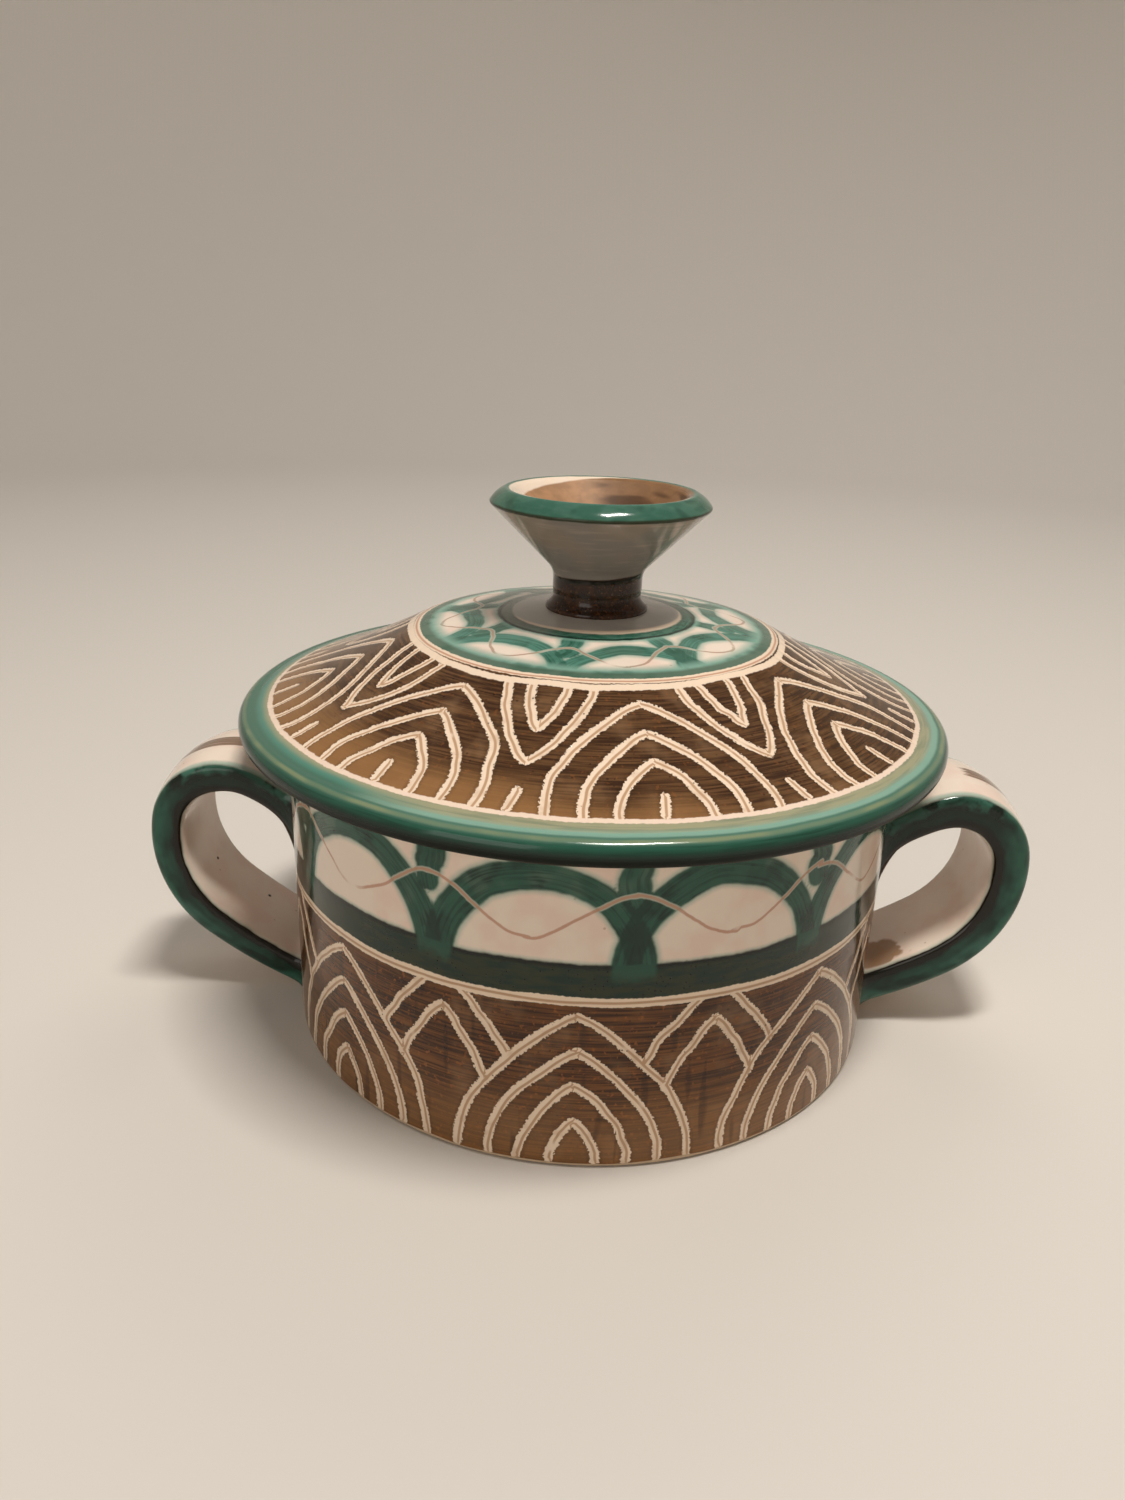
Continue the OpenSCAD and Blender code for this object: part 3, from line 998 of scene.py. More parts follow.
def scratched(g, colour):
    """Lines scratched through the brown slip to the white glaze, with torn edges."""
    gap = g.field("cut") + (g.shake(0.55, 0.6, 1) + g.shake(14, 0.3))
    bare = g.fall(gap, CUT_W / 2 - 0.08, CUT_W / 2 + 0.1)
    burr = g.fall(gap, CUT_W / 2 + 0.1, CUT_W / 2 + 1.1)
    side = g.field("cut_side") + (g.shake(9, 0.45) + 0.15)
    middle = g.band(side, -0.3, 0.3, 0.14) * g.patches(7, 0.22, 0.36)
    line = g.coats(
        CREAM,
        (g.patches(3.5, 0.5, 0.75) * 0.35, CREAM_SHADE),
        (middle, CREAM_SHADE),
        (g.specks(3.2, 0.07) * 0.8, BLACK_BROWN),
    )
    return g.coats(colour, (burr * 0.25, BLACK_BROWN), (bare, line)), bare


def brushed(g, ground, paint, dark, wire_tone=TERRACOTTA, bleed=1.5):
    """Green brush strokes with soft turquoise edges, crossed by thin scratched lines."""
    edge = g.field("stroke") + g.shake(3.5, 0.35, 2)
    inside = g.fall(edge, -0.5, 0.3)
    bristles = g.noise(1, 2, g.vector(g.field("across") * 1.5, g.field("along") * 0.08, 0.0))
    shade = g.patches(5, 0.45, 0.7) * 0.5 + g.step(bristles, 0.42, 0.62) * 0.5
    thin_paint = g.mix(g.patches(8, 0.5, 0.7, 1) * 0.55, paint, TEAL_GREY)
    stroke = g.coats(thin_paint, (shade, dark), (g.step(g.field("laps"), 1.1, 1.8) * 0.75, dark))
    thin = abs(g.field("thin_side") + g.shake(1.5, 0.12))
    close = g.fall(g.field("thin"), 1.6, 2.0)
    opened = g.fall(thin, 0.35, 0.8) * close
    wire = g.fall(thin, 0.2, 0.5) * (close * g.patches(9, 0.2, 0.45))
    return g.coats(
        ground,
        (g.fall(edge, -0.4, bleed) * 0.7, TURQUOISE),
        (inside, stroke),
        (opened * (inside * 0.9), g.mix(0.45, TURQUOISE, WHITE)),
        (wire * 0.75, wire_tone),
    )


def bowl_band(g, soft_z):
    """The dark green band under the arcade, where the strokes run into it."""
    low_edge = g.step(soft_z + g.shake(2.5, 2, 2), -5.5, -1.5, BAND_TOP_Z)
    under_stroke = g.fall(g.field("stroke") + g.shake(3.5, 0.35, 2), -1.2, 0.2)
    return g.coats(
        OLIVE,
        (g.streaks(7, 1.6, g.z, 0.4, 0.64, 3), TEAL_DEEP),
        (g.specks(1.3, 0.16) * 0.85, BLACK_GREEN),
        (g.band(soft_z, -1.1, 0.4, 0.5, BAND_TOP_Z), BLACK_GREEN),
        (under_stroke * (low_edge * 0.8), TEAL),
    )


def bowl_brown(g):
    """The slip on the bowl: painted lighter tan towards the foot, as painted light where the lower wall
    is lit below the lid's shade, with a few dark drips.
    """
    # painted light: lighter tan low on the wall, where the lower wall is lit below the lid's shade
    painted_light_low = g.fall(g.z + g.shake(16, 9), 6, 26)
    drips = g.streaks(3, 26, g.z, 0.6, 0.72, 1)
    slip = brown_ground(g, g.z, 0.8, BROWN_RICH, BROWN_DEEP)
    return scratched(g, g.coats(slip, (painted_light_low * 0.45, RIM_TAN), (drips * 0.45, BLACK_BROWN)))


def bowl_glaze():
    g = Glaze("bowl_glaze", 0.13)
    run = g.field("run")
    foot_mark, rim_mark = BOWL[2][2], BOWL[2][3]
    z = g.z + g.shake(16, 0.5)
    soft_z = z + g.shake(3, 0.35, 2)
    free = g.step(g.field("stroke"), -0.3, 0.8)
    bleed = g.fall(soft_z, 0, 1.2, BAND_TOP_Z) * (free * 0.5)
    at_root = g.fall(abs(g.y) + g.shake(5, 3, 2), strap_w / 2 + 1, strap_w / 2 + 9)
    run_down = at_root * (g.step(z, 50, 56) * g.fall(z, 78, 84))
    flow = g.drawn_out(2.2, 16, g.z)
    light_flow = g.mix(g.step(flow, 0.6, 0.75), TEAL_DEEP, OLIVE_BEIGE)
    brown, bare = bowl_brown(g)
    torn = z + g.shake(1.1, 0.3, 2)
    ring = g.band(torn, CREAM_LINE_Z - CREAM_LINE_W / 2, CREAM_LINE_Z + CREAM_LINE_W / 2, 0.12)
    # painted shade: a darker band along the cream ring, a little below its middle, for the shade in its
    # groove
    ring_painted_shade = g.band(g.z + g.shake(20, 0.4), -0.45, 0.2, 0.2, CREAM_LINE_Z)
    under = g.fall(run, -0.4, 0.8, foot_mark)
    colour = g.coats(
        brushed(g, white_ground(g), TEAL, TEAL_DEEP),
        (bleed, TURQUOISE),
        (g.fall(soft_z, -0.4, 0.4, BAND_TOP_Z), bowl_band(g, soft_z)),
        (run_down, g.mix(g.step(flow, 0.42, 0.6), BLACK_GREEN, light_flow)),
        (g.fall(soft_z, -0.2, 0.2, CREAM_LINE_Z), brown),
        (ring, g.mix(ring_painted_shade, CREAM, CREAM_SHADE)),
        (g.fall(g.z + g.shake(22, 0.9), -0.15, 0.15, EDGE_LINE_Z), EDGE_CREAM),
        (g.step(run, -0.6, 0.4, rim_mark), white_ground(g)),
        (under, g.mix(g.noise(3, 3), BISCUIT, CREAM_SHADE)),
    )
    inset = g.larger(bare, ring) * g.fall(g.z, 1, 2, CREAM_LINE_Z)
    g.shine(SHINE + g.fall(g.z, 1, 3) * -0.4)
    return g.fire(colour, melt(g) - inset * LINE_INSET, 0.12 + under * 0.5)


def crown_glaze(g, r, soft_r):
    """The lid's white crown with its arcade, a green ring outside it and a ring and disc inside."""
    outer_ring = g.coats(
        TURQUOISE,
        (g.step(soft_r, -0.4, 1.4, OUTER_RING_R), TEAL_GREY),
        (g.patches(6, 0.5, 0.7) * 0.5, TEAL),
    )
    inner_ring = g.coats(
        TEAL_MID,
        (g.streaks(9, 0.8, g.r, 0.4, 0.62), TEAL),
        (g.step(g.x * -1, 6, 20) * 0.5, GREY),
        (g.step(soft_r, -1.4, -0.5, RING_R), TEAL_DEEP),
    )
    # painted light: a cream edge on the disc, wider at the front and right, where light falls past the
    # knob's shadow
    painted_lit_edge = r + (g.y * -0.1 + g.x * 0.03)
    # painted light: the disc's grey is lighter than the cone's, to make up for the knob's shade on it
    disc = g.coats(
        PAINTED_LIT_GREY,
        (g.step(painted_lit_edge, -0.5, 0.3, DISC_R), CREAM),
        (g.patches(9, 0.5, 0.7) * 0.2, WHITE_PINK),
    )
    return g.coats(
        brushed(g, white_ground(g), TEAL_PALE, TEAL, WIRE_GREY, 2.1),
        (g.step(soft_r, -3.6, -0.6, OUTER_RING_R) * 0.75, TURQUOISE),
        (g.step(soft_r, -1.2, 0.2, OUTER_RING_R), outer_ring),
        (g.fall(soft_r, 0, 1.9, RING_R) * 0.8, TURQUOISE),
        (g.fall(soft_r, -0.4, 0.4, RING_R), inner_ring),
        (g.fall(soft_r, -0.5, 0.3, DISC_R), disc),
    )


def rim_strip(g, edge_run, left):
    """The pale strip inside the bead, greener on the left."""
    thin = g.streaks(12, 0.8, g.r, 0.42, 0.66)
    right_strip = g.coats(
        OLIVE_BEIGE,
        (thin * 0.4, TEAL_GREY),
        (g.step(edge_run, -2.6, -1.0, CREST) * 0.5, TURQUOISE),
    )
    left_strip = g.coats(
        OLIVE_BEIGE,
        (g.step(edge_run, -4.4, -2.2, CREST), TEAL_PALE),
        (g.step(edge_run, -2.6, -0.6, CREST), TEAL_MID),
    )
    return g.mix(left, right_strip, left_strip)


def rim_bead(g, edge_run):
    """The dark green outside of the bead, nearly black below."""
    drawn = g.streaks(14, 0.7, g.z, 0.45, 0.68)
    return g.coats(
        TEAL,
        (drawn * 0.5, TEAL_DEEP),
        (g.step(edge_run, 3.0, 5.0, CREST), TEAL_DEEP),
        (g.step(edge_run, 4.6, 6.0, CREST), BLACK_GREEN),
        (g.step(edge_run, 7.2, 8.4, CREST) * 0.6, OLIVE),
    )


def lid_glaze():
    g = Glaze("lid_glaze", 0.13)
    foot = cone_foot[0]
    r = g.r + g.shake(15, 0.45)
    torn = r + g.shake(1.1, 0.3, 2)
    soft_r = r + g.shake(3, 0.3, 2)
    bead_run = g.field("run") - LID[2][3]
    edge_run = bead_run + g.shake(9, 0.3, 2)
    leaning = (g.x + g.y * 0.3) * -0.12
    near_rim = g.step(r + leaning + g.shake(20, 5), 74, 86)
    brown, bare = scratched(g, g.mix(near_rim * 0.75, brown_ground(g, g.r, 0.3), RIM_TAN))
    cone = g.step(torn, -0.2, 0.2, SHOULDER_R)
    first = g.band(torn, -1.0, 0.6, 0.14, SHOULDER_R)
    second = g.band(torn + g.shake(30, 0.9), 0.9, 2.5, 0.14, SHOULDER_R)
    wire = g.band(r + g.shake(25, 0.5), -0.3, 0.2, 0.2, SHOULDER_R)
    left = g.fall(g.x + g.shake(24, 14), -56, -30)
    right = 1 - left
    broken = 0.4 + g.patches(16, 0.42, 0.58, 1) * 0.4
    colour = g.coats(
        crown_glaze(g, r, soft_r),
        (cone, brown),
        (g.larger(first, second), CREAM),
        (wire * 0.8, TERRACOTTA),
        (g.step(torn, -0.1, 0.2, foot), rim_strip(g, edge_run, left)),
        (g.band(torn, -0.9, 0.3, 0.15, foot), g.mix(g.noise(5), CREAM, WHITE_PINK)),
        (g.step(edge_run, -1.5, -0.9, CREST) * (right * 0.85), TURQUOISE),
        (g.step(edge_run, -0.1, 0.7, CREST) * 0.9, TEAL_MID),
        (g.step(edge_run, 1.9, 3.0, CREST), rim_bead(g, edge_run)),
        (g.band(edge_run, 1.1, 2.1, 0.35, CREST) * broken, OLIVE_PALE),
        (g.step(edge_run, 9.4, 10.2, CREST), white_ground(g)),
    )
    inset = g.larger(bare * (cone * g.fall(g.r, -1, 0, foot)), g.larger(first, second))
    under = g.step(bead_run, 4.4, 6.5, CREST)
    g.shine(SHINE + under * -0.36)
    return g.fire(colour, melt(g) - inset * LINE_INSET, 0.13 + under * 0.3)


def cup_lining(g):
    """Thin tan slip inside the cup, brushed darker on the right."""
    to_right = g.step(g.x * 1.2 + g.y * 0.3, 1, 9)
    brush = g.streaks(24, 2.6, g.z, 0.42, 0.56, 1, LIP_R) * to_right
    return g.coats(
        TAN,
        (g.patches(3, 0.36, 0.66, 3) * 0.7, BROWN_TAN),
        (g.streaks(9, 1.4, g.z, 0.4, 0.7, at=LIP_R) * 0.4, BROWN_TAN),
        (to_right * 0.6, BROWN),
        (brush * 0.7, BROWN_DARK),
    )


def knob_glaze():
    g = Glaze("knob_glaze", 0.13)
    run = g.field("run")
    crease, lip = KNOB[2][3], KNOB[2][6]
    neck_top = crown_z + NECK_TOP_H
    z = g.z + (g.x * -0.06 + g.shake(12, 0.4))
    edge_run = run + g.shake(6, 0.25)
    cone = g.coats(
        GREY,
        (g.patches(14, 0.45, 0.75, 1) * 0.2, CREAM_SHADE),
        (g.streaks(14, 0.9, g.z, 0.5, 0.75, at=cup_r) * 0.12, WHITE_PINK),
    )
    neck = g.coats(
        NECK_DARK,
        (g.patches(2.6, 0.35, 0.7), NECK_BROWN),
        (g.patches(0.7, 0.55, 0.7) * 0.45, BROWN_RICH),
        (g.specks(1.3, 0.1) * 0.5, BROWN_TAN),
        (g.band(z, -1.4, 0, 0.5, neck_top), BLACK_BROWN),
    )
    bevel = g.coats(
        TEAL_MID,
        (g.streaks(7, 2.2, g.z, 0.42, 0.62, at=cup_r) * 0.6, TEAL),
        (g.patches(5, 0.55, 0.75, 1) * 0.4, TEAL_DEEP),
        (g.step(run, -1.2, 0, lip) * 0.4, TEAL_PALE),
    )
    inner = run + (g.x * 0.11 + g.y * 0.05) + g.shake(9, 0.5, 2)
    lined = g.step(inner, 2.4, 3.0, lip)
    colour = g.coats(
        cone,
        (g.fall(z, -0.2, 0.3, neck_top), neck),
        # painted shade: dark olive from just below the crease up the lowest part of the bevel, for the
        # shade where the knob's edge turns under
        (g.step(edge_run, -0.5, 0.1, crease), OLIVE),
        (g.step(edge_run, 0.4, 1.1, crease), bevel),
        (g.step(edge_run, 0.3, 0.8, lip), g.mix(lined, g.mix(g.noise(6), CREAM, WHITE), cup_lining(g))),
    )
    dry = lined * g.step(run, 1.5, 3, lip)
    return g.fire(colour, melt(g), 0.13 + dry * 0.45)


def strap_green(g, share, along):
    """The green on a strap's side: share is 0 at its outer edge and 1 at its inner one."""
    long_patches = g.step(g.noise(1, 2, g.vector(share * 1.6, along / 13, 0.0)), 0.4, 0.62)
    pale_patches = g.step(g.noise(1, 2, g.vector(share * 1.2, along / 17, 3.0)), 0.5, 0.64)
    deep = g.step(share + g.shake(6, 0.3, 3), 0.15, 0.4)
    near_top = g.fall(along + g.shake(8, 9), 34, 46) * g.larger(deep, g.patches(6.5, 0.5, 0.62, 3))
    inner_dark = g.step(share + g.shake(7, 0.16, 2), 0.6, 0.78)
    return g.coats(
        TEAL,
        (long_patches, TEAL_DEEP),
        (g.fall(share + g.shake(6, 0.1), 0.02, 0.26) * 0.5, TEAL_MID),
        (pale_patches * g.fall(share, 0.25, 0.6) * 0.35, TEAL_PALE),
        (near_top * 0.92, BLACK_GREEN),
        (g.step(share + g.shake(9, 0.14, 2), 0.3, 0.6) * 0.6, TEAL_DEEP),
        (inner_dark, g.mix(g.noise(7, 2), BLACK_BROWN, BLACK_GREEN)),
    )


def strap_stroke(g, along, across):
    """One dry brush stroke down the middle of a strap's outer face: where it is, and its colour."""
    bristles = g.vector(across * 1.6, along * 0.06, 0.0)
    start = 16 + g.step(g.x, 0, 1) * 9
    past_start = along + g.shake(1.2, 4, 2, bristles) - start
    middle = abs(across + g.shake(30, 1.2))
    ragged = g.fall(middle, 2.9, 3.3) * (g.step(past_start, -0.7, 0.7) * g.fall(along, 56, 66))
    tone = g.mix(g.step(g.noise(1, 2, bristles), 0.4, 0.62), BROWN, BRUSH_GREY)
    return ragged * g.field("strap_outer") * 0.9, tone


def strap_smudge(g, along, across, inner_face):
    """A tan smudge inside the right strap: where it is, and its colour."""
    x = (along - SMUDGE_RUN + g.shake(5, 6, 2)) / SMUDGE_HALF_RUN
    y = (across + SMUDGE_FRONT + g.shake(5, 5, 2)) / SMUDGE_HALF_W
    inside = g.fall(x * x + y * y, 0.8, 1.15) * (inner_face * g.step(g.x, 0, 1))
    return inside * 0.85, g.mix(g.patches(2.5, 0.42, 0.6), RIM_TAN, BROWN_TAN)


def strap_pinhole(g, along, across, inner_face, hole):
    """A pinhole inside the left strap: where it is, and its colour."""
    x, y = along - hole[0], across - hole[1]
    return g.fall(x * x + y * y, 0.12, 0.45) * (inner_face * g.fall(g.x, -1, 0)), BLACK_BROWN


def handle_glaze():
    g = Glaze("handle_glaze", 0.12)
    thick = g.field("strap_thick")
    along, across = g.field("strap_run"), g.field("strap_across")
    soft = g.field("strap_depth") + g.shake(5, 0.5, 2)
    past = soft - thick
    side = g.step(soft, -1.2, 0.1) * g.fall(past, -0.1, 0.7)
    halo = g.larger(g.band(soft, -2.0, -0.2, 0.9), g.band(past, -0.4, 1.0, 0.6) * 0.6)
    inner_face = g.step(past, 0.8, 1.6)
    colour = g.coats(
        white_ground(g),
        (halo * 0.7, TURQUOISE),
        (side, strap_green(g, soft / thick, along)),
        strap_stroke(g, along, across),
        strap_smudge(g, along, across, inner_face),
        *(strap_pinhole(g, along, across, inner_face, hole) for hole in PINHOLES),
    )
    return g.fire(colour, melt(g))


def plain_glaze():
    g = Glaze("plain_glaze", 0.14)
    streaks = g.streaks(12, 1.2, g.z, 0.5, 0.7)
    return g.fire(g.mix(streaks * 0.3, white_ground(g), GREY), melt(g))


# ---- handles ----

CORNER_STEPS, SIDE_STEPS, OUTER_STEPS, INNER_STEPS = 5, 8, 32, 28
EDGE_BAND = 0.6  # this near to the outer and the inner face, depth is counted across the face
OUTER_FACE = -0.5
SLOW_SWAY, SLOW_LEN = 0.22, 11  # how far a strap sways sideways, and over what length
QUICK_SWAY, QUICK_LEN = 0.12, 4.3
SWELL_SHARE, SWELL_LEN = 0.008, 15


def strap_line(turns):
    """The strap's outer face in its own plane: rows of x, z, heading and run past the root."""
    heading = turns[0]
    x, z = bowl_r - ROOT_DEPTH, HANDLE_Z
    c, s = math.cos(math.radians(heading)), math.sin(math.radians(heading))
    rows = [(x + d * c, z + d * s, heading, d) for d in np.arange(-RUN_IN, 0, STRAP_STEP)]
    run = 0.0
    rows.append((x, z, heading, run))
    for radius, turn in zip(TURN_RADII, turns[1:]):
        length = math.radians(turn) * radius
        count = math.ceil(length / STRAP_STEP)
        for k in range(1, count + 1):
            now = heading - turn * k / count
            a, b = math.radians(heading), math.radians(now)
            px = x + radius * (math.sin(a) - math.sin(b))
            pz = z + radius * (math.cos(b) - math.cos(a))
            rows.append((px, pz, now, run + length * k / count))
        x, z, heading, run = rows[-1]
    rows += [(x - k, z, heading, run + k) for k in range(1, RUN_OUT + 1)]
    return np.array(rows)


def strap_thickness(t, run, whole):
    """Thinner towards both roots, where the clay is pressed on."""
    thick = t - ROOT_THIN * np.exp(-np.maximum(0, run) / THIN_LEN)
    return thick - TAIL_THIN * np.exp((run - whole) / THIN_LEN)


def strap_section(thick):
    """The section as rows of across and outward, from the outer face round to it again."""
    e, w = STRAP_EDGE_R, strap_w / 2 - STRAP_EDGE_R
    low = -thick + e
    corner = np.linspace(0, math.pi / 2, CORNER_STEPS + 1)[1:]
    outer = [(x * w, STRAP_CROWN * (1 - x * x)) for x in np.linspace(-1, 1, OUTER_STEPS + 1)]
    right = [(w + e * math.sin(a), -e + e * math.cos(a)) for a in corner]
    right += [(w + e, z) for z in np.linspace(-e, low, SIDE_STEPS + 1)[1:]]
    right += [(w + e * math.cos(a), low - e * math.sin(a)) for a in corner]
    inner = [(x, -thick) for x in np.linspace(w, -w, INNER_STEPS + 1)[1:-1]]
    left = [(-x, z) for x, z in reversed(right)]
    return np.array(outer + right + inner + left)


def edge_depth(section, thick):
    """Depth past the outer edge, measured round the section: below 0 on the outer face,
    0 to the thickness on a side, and more on the inner face."""
    across, out = np.abs(section[:, 0]), section[:, 1]
    half = strap_w / 2
    on_outer = across - half + EDGE_BAND
    on_inner = thick + half - across - EDGE_BAND
    return np.where(out > -EDGE_BAND, on_outer, np.where(out < EDGE_BAND - thick, on_inner, -out))


def luted(grid, depth, thick, run):
    """The strap's rings with soft clay drawn out along the wall at both roots."""
    around_it = np.roll(grid, -1, 1) - np.roll(grid, 1, 1)
    facing = np.cross(np.gradient(grid, axis=0), around_it)
    facing *= np.sign(np.einsum("ijk,ijk->", facing, grid - grid.mean(1, keepdims=True)))
    off_axis = np.hypot(grid[..., 0], grid[..., 1])
    radial = np.stack((grid[..., 0] / off_axis, grid[..., 1] / off_axis, np.zeros_like(off_axis)), 2)
    facing -= radial * np.einsum("ijk,ijk->ij", facing, radial)[..., None]
    facing /= np.maximum(np.linalg.norm(facing, axis=2, keepdims=True), 1e-9)
    gap = np.maximum(off_axis - bowl_r, -ROOT_DEPTH)
    upper = (run < run[-1] / 2)[:, None]
    share = np.clip(depth / thick[:, None], 0, 1) * upper
    grid = grid + facing * (LUTE * np.exp(-np.maximum(gap, 0) / LUTE_LEN))[..., None]
    grid[..., 2] -= share * ROOT_FILLET * np.exp(-gap / FILLET_LEN)
    p = grid.reshape(-1, 3)
    p[:, :2] *= np.maximum(1, (bowl_r - WALL_T / 2) / np.hypot(p[:, 0], p[:, 1]))[:, None]
    p[:, 2] = np.maximum(p[:, 2], TABLE_GAP)
    return p


def pulled_strap(name, turns, t, glaze, side):
    """A handle pulled from clay and swept along its line, luted on where it meets the wall."""
    line = strap_line(turns)
    run = line[:, 3]
    thick = strap_thickness(t, run, run[-1] - RUN_OUT)
    phases = np.random.default_rng(5 if side < 0 else 6).random(4) * TURN
    sections = np.array([strap_section(own) for own in thick])
    depth = np.array([edge_depth(section, own) for section, own in zip(sections, thick)])
    rings = []
    for (x, z, heading, d), section in zip(line, sections):
        slow, quick = math.sin(d / SLOW_LEN + phases[0]), math.sin(d / QUICK_LEN + phases[1])
        sway = SLOW_SWAY * slow + QUICK_SWAY * quick
        a = math.radians(heading + 90)
        out = section[:, 1] + sway * 0.5
        wide = section[:, 0] * (1 + SWELL_SHARE * math.sin(d / SWELL_LEN + phases[2])) + sway
        rings.append(np.column_stack((x + out * math.cos(a), wide, z + out * math.sin(a))))
    around = len(sections[0])
    p = luted(np.array(rings), depth, thick, run)
    p[:, 0] *= side
    last = len(p) - 1
    ends = (tuple(range(around)), tuple(range(last, last - around, -1)))
    mesh = ring_mesh(name, (p * MM).tolist(), around, ends)
    write_field(mesh, "strap_depth", depth.ravel())
    write_field(mesh, "strap_thick", np.repeat(thick, around))
    write_field(mesh, "strap_run", np.repeat(run, around))
    write_field(mesh, "strap_across", sections[..., 0].ravel())
    write_field(mesh, "strap_outer", sections[..., 1].ravel() > OUTER_FACE)
    face_out(mesh)
    lay_strap_map(mesh, len(line), around)
    mesh.materials.append(glaze)
    return put_in_scene(name, mesh)


# ---- making the pot ----

BOWL, LID, FLANGE, KNOB = bowl_outline(), lid_outline(), flange_outline(), knob_outline()
top_points = LID[0][LID[1] <= LID[2][3]]
LID_TOP = top_points[np.argsort(top_points[:, 0])]
CREST = BEAD_R * math.radians(BEAD_IN - 90)  # from the bead's start to its crest, along the clay
WHEEL = wheel_tree()
AROUND, SMALL_AROUND = 576, 240  # columns of a large turned piece and of a small one
BOWL_BAYS, LID_BAYS = 11, 8
BOWL_ARCH_Z, BOWL_ARCH_H = 49.5, 24  # where an arcade stands, and how far its arches rise
LID_ARCH_R, LID_ARCH_W = 43.8, 13.2
BOWL_WAVE_Z, BOWL_WAVE_H = 64.5, 5.5  # the middle of a wave, and how far it swings from that
LID_WAVE_R, LID_WAVE_W = 34.8, 4.4


def make_bowl():
    piece = turned("glazed_bowl", BOWL, AROUND, bowl_glaze(), unevenness=0.22, ripple=0.10, seed=3)
    lay_bowl_map(piece.data, BOWL)
    strokes = [on_bowl(a * bowl_r, BOWL_ARCH_Z + BOWL_ARCH_H * h) for a, h in arcade(BOWL_BAYS, 4)]
    fine = [on_bowl(a * bowl_r, BOWL_WAVE_Z - BOWL_WAVE_H * h) for a, h in wave_line(BOWL_BAYS, 8)]
    mark_piece(piece, wall_petal_marks(), strokes, STROKE_W / 2, fine)
    return piece


def make_lid():
    piece = turned("glazed_lid", LID, AROUND, lid_glaze(), unevenness=0.2, ripple=0.08, seed=7)
    lay_lid_map(piece.data, LID)
    strokes = [on_lid(a + LID_START, LID_ARCH_R - LID_ARCH_W * h) for a, h in arcade(LID_BAYS, 2)]
    fine = [on_lid(a + LID_START, LID_WAVE_R + LID_WAVE_W * h) for a, h in wave_line(LID_BAYS, 9)]
    mark_piece(piece, rim_petal_marks(), strokes, LID_STROKE_W / 2, fine)
    return piece


def make_small(name, shape, glaze, unevenness, seed):
    piece = turned(name, shape, SMALL_AROUND, glaze, unevenness, ripple=0.05, seed=seed)
    lay_round_map(piece.data, shape)
    return piece


bowl = make_bowl()
lid = make_lid()
flange = make_small("glazed_lid_flange", FLANGE, plain_glaze(), unevenness=0.15, seed=11)
knob = make_small("glazed_knob", KNOB, knob_glaze(), unevenness=0.14, seed=13)
strap_finish = handle_glaze()
left_strap = pulled_strap("glazed_left_handle", LEFT_TURNS, LEFT_STRAP_T, strap_finish, -1)
right_strap = pulled_strap("glazed_right_handle", RIGHT_TURNS, RIGHT_STRAP_T, strap_finish, 1)

pieces = (
    (bowl, "pot", "bowl", "bowl_glaze"),
    (left_strap, "pot", "left_handle", "handle_glaze"),
    (right_strap, "pot", "right_handle", "handle_glaze"),
    (lid, "cover", "lid", "lid_glaze"),
    (flange, "cover", "lid_flange", "plain_glaze"),
    (knob, "cover", "knob", "knob_glaze"),
)
for piece, body, node, slot in pieces:
    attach(piece, body)
    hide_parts(node)


# ---- studio, in metres ----

FLOOR_R, CURVE_R, BACKDROP_H = 1.1, 0.6, 1.6
FLOOR_SIDES = 96
PAPER = tint(210, 204, 196)
WARM = (1.0, 0.955, 0.9)
AIR, AIR_STRENGTH = (1.0, 0.97, 0.93, 1), 0.26
EYE = (0, -0.2816, 0.1808)
LOOK_TURN, LOOK_DOWN, LOOK_ROLL = 0.026, math.radians(21.34), math.radians(2.06)
SENSOR_W = 36
FOCAL_SHARE = 1127 / 1500  # focal length over the sensor's width


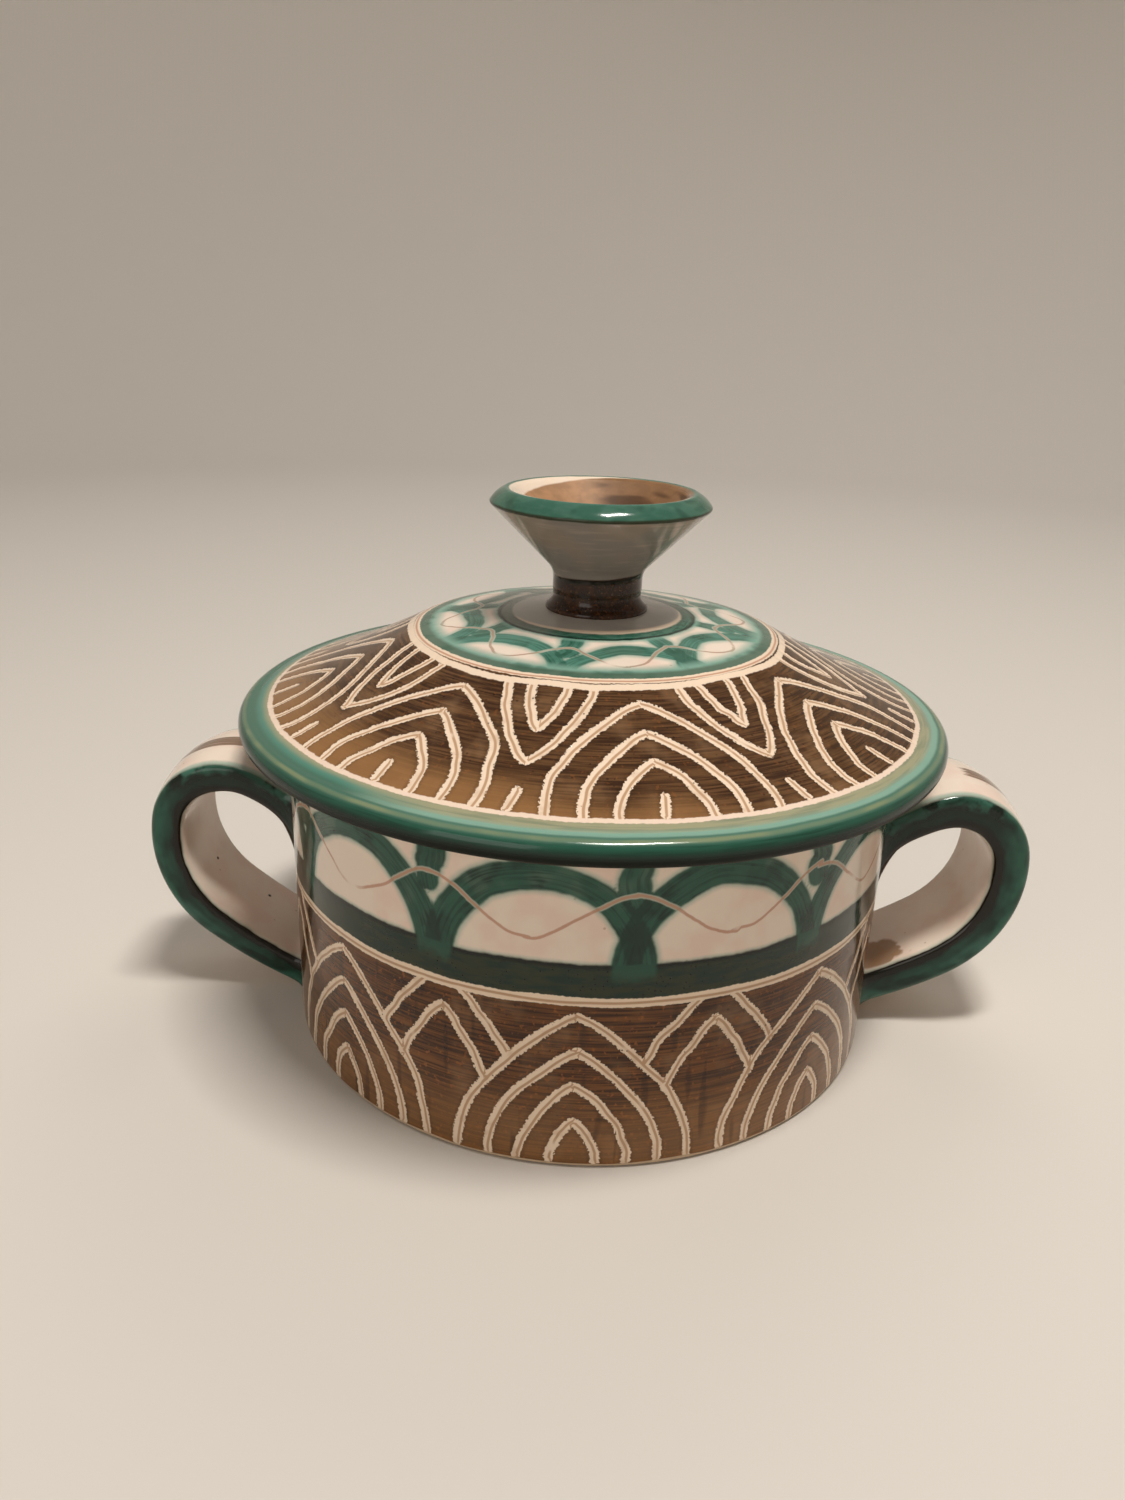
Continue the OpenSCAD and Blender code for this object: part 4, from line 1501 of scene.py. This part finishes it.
def studio_floor():
    """A round pale floor that curves up into a backdrop on every side."""
    curve = np.linspace(0.1, math.pi / 2, 14)
    line = [(0, 0), (0.3, 0), (FLOOR_R, 0)]
    line += [(FLOOR_R + CURVE_R * math.sin(a), CURVE_R * (1 - math.cos(a))) for a in curve]
    line.append((FLOOR_R + CURVE_R, BACKDROP_H))
    angles = [TURN * k / FLOOR_SIDES for k in range(FLOOR_SIDES)]
    points = [(r * math.cos(a), r * math.sin(a), z) for r, z in line for a in angles]
    mesh = ring_mesh("studio_floor", points, FLOOR_SIDES)
    paper = bpy.data.materials.new("backdrop_paper")
    paper.use_nodes = True
    shader = paper.node_tree.nodes["Principled BSDF"]
    shader.inputs["Base Color"].default_value = PAPER
    shader.inputs["Roughness"].default_value = 0.9
    mesh.materials.append(paper)
    made = put_in_scene("studio_floor", mesh)


def lamp(name, place, aim_z, size, watts, mirrored=True):
    """A soft oblong lamp that faces a height on the axis. One that isn't mirrored lights the
    glaze without showing in it."""
    data = bpy.data.lights.new(name, "AREA")
    data.shape = "RECTANGLE"
    data.size, data.size_y = size
    data.energy = watts
    data.color = WARM
    made = put_in_scene(name, data)
    made.location = place
    aim = Vector((0, 0, aim_z)) - Vector(place)
    made.rotation_euler = aim.to_track_quat("-Z", "Y").to_euler()
    made.visible_camera = False
    made.visible_glossy = mirrored


def studio_light():
    lamp("key_lamp", (0.17, -0.21, 1.2), aim_z=0.08, size=(0.36, 0.12), watts=11.5)
    lamp("fill_lamp", (-0.7, -1.2, 0.6), aim_z=0.06, size=(0.8, 0.8), watts=3.2)
    lamp("back_lamp", (0.3, 1.1, 1.2), aim_z=0.08, size=(0.9, 0.9), watts=4.0, mirrored=False)
    world = bpy.data.worlds.new("studio_air")
    bpy.context.scene.world = world
    world.use_nodes = True
    air = world.node_tree.nodes["Background"]
    air.inputs["Color"].default_value = AIR
    air.inputs["Strength"].default_value = AIR_STRENGTH


def camera():
    """A hand-held close view from the front, from a little above the lid."""
    about_z = Matrix.Rotation(-LOOK_TURN, 3, "Z")
    cp, sp = math.cos(LOOK_DOWN), math.sin(LOOK_DOWN)
    cr, sr = math.cos(LOOK_ROLL), math.sin(LOOK_ROLL)
    about_x = Matrix(((1, 0, 0), (0, cp, -sp), (0, sp, cp)))
    about_y = Matrix(((cr, 0, sr), (0, 1, 0), (-sr, 0, cr)))
    right, forward, up = about_y @ about_x @ about_z
    data = bpy.data.cameras.new("camera")
    data.sensor_width = SENSOR_W
    data.lens = FOCAL_SHARE * SENSOR_W
    data.clip_start = 0.01
    made = put_in_scene("camera", data)
    rows = [(right[k], up[k], -forward[k], EYE[k]) for k in range(3)]
    made.matrix_world = Matrix((*rows, (0, 0, 0, 1)))
    bpy.context.scene.camera = made


studio_floor()
studio_light()
camera()
bpy.context.scene.view_settings.view_transform = "Standard"
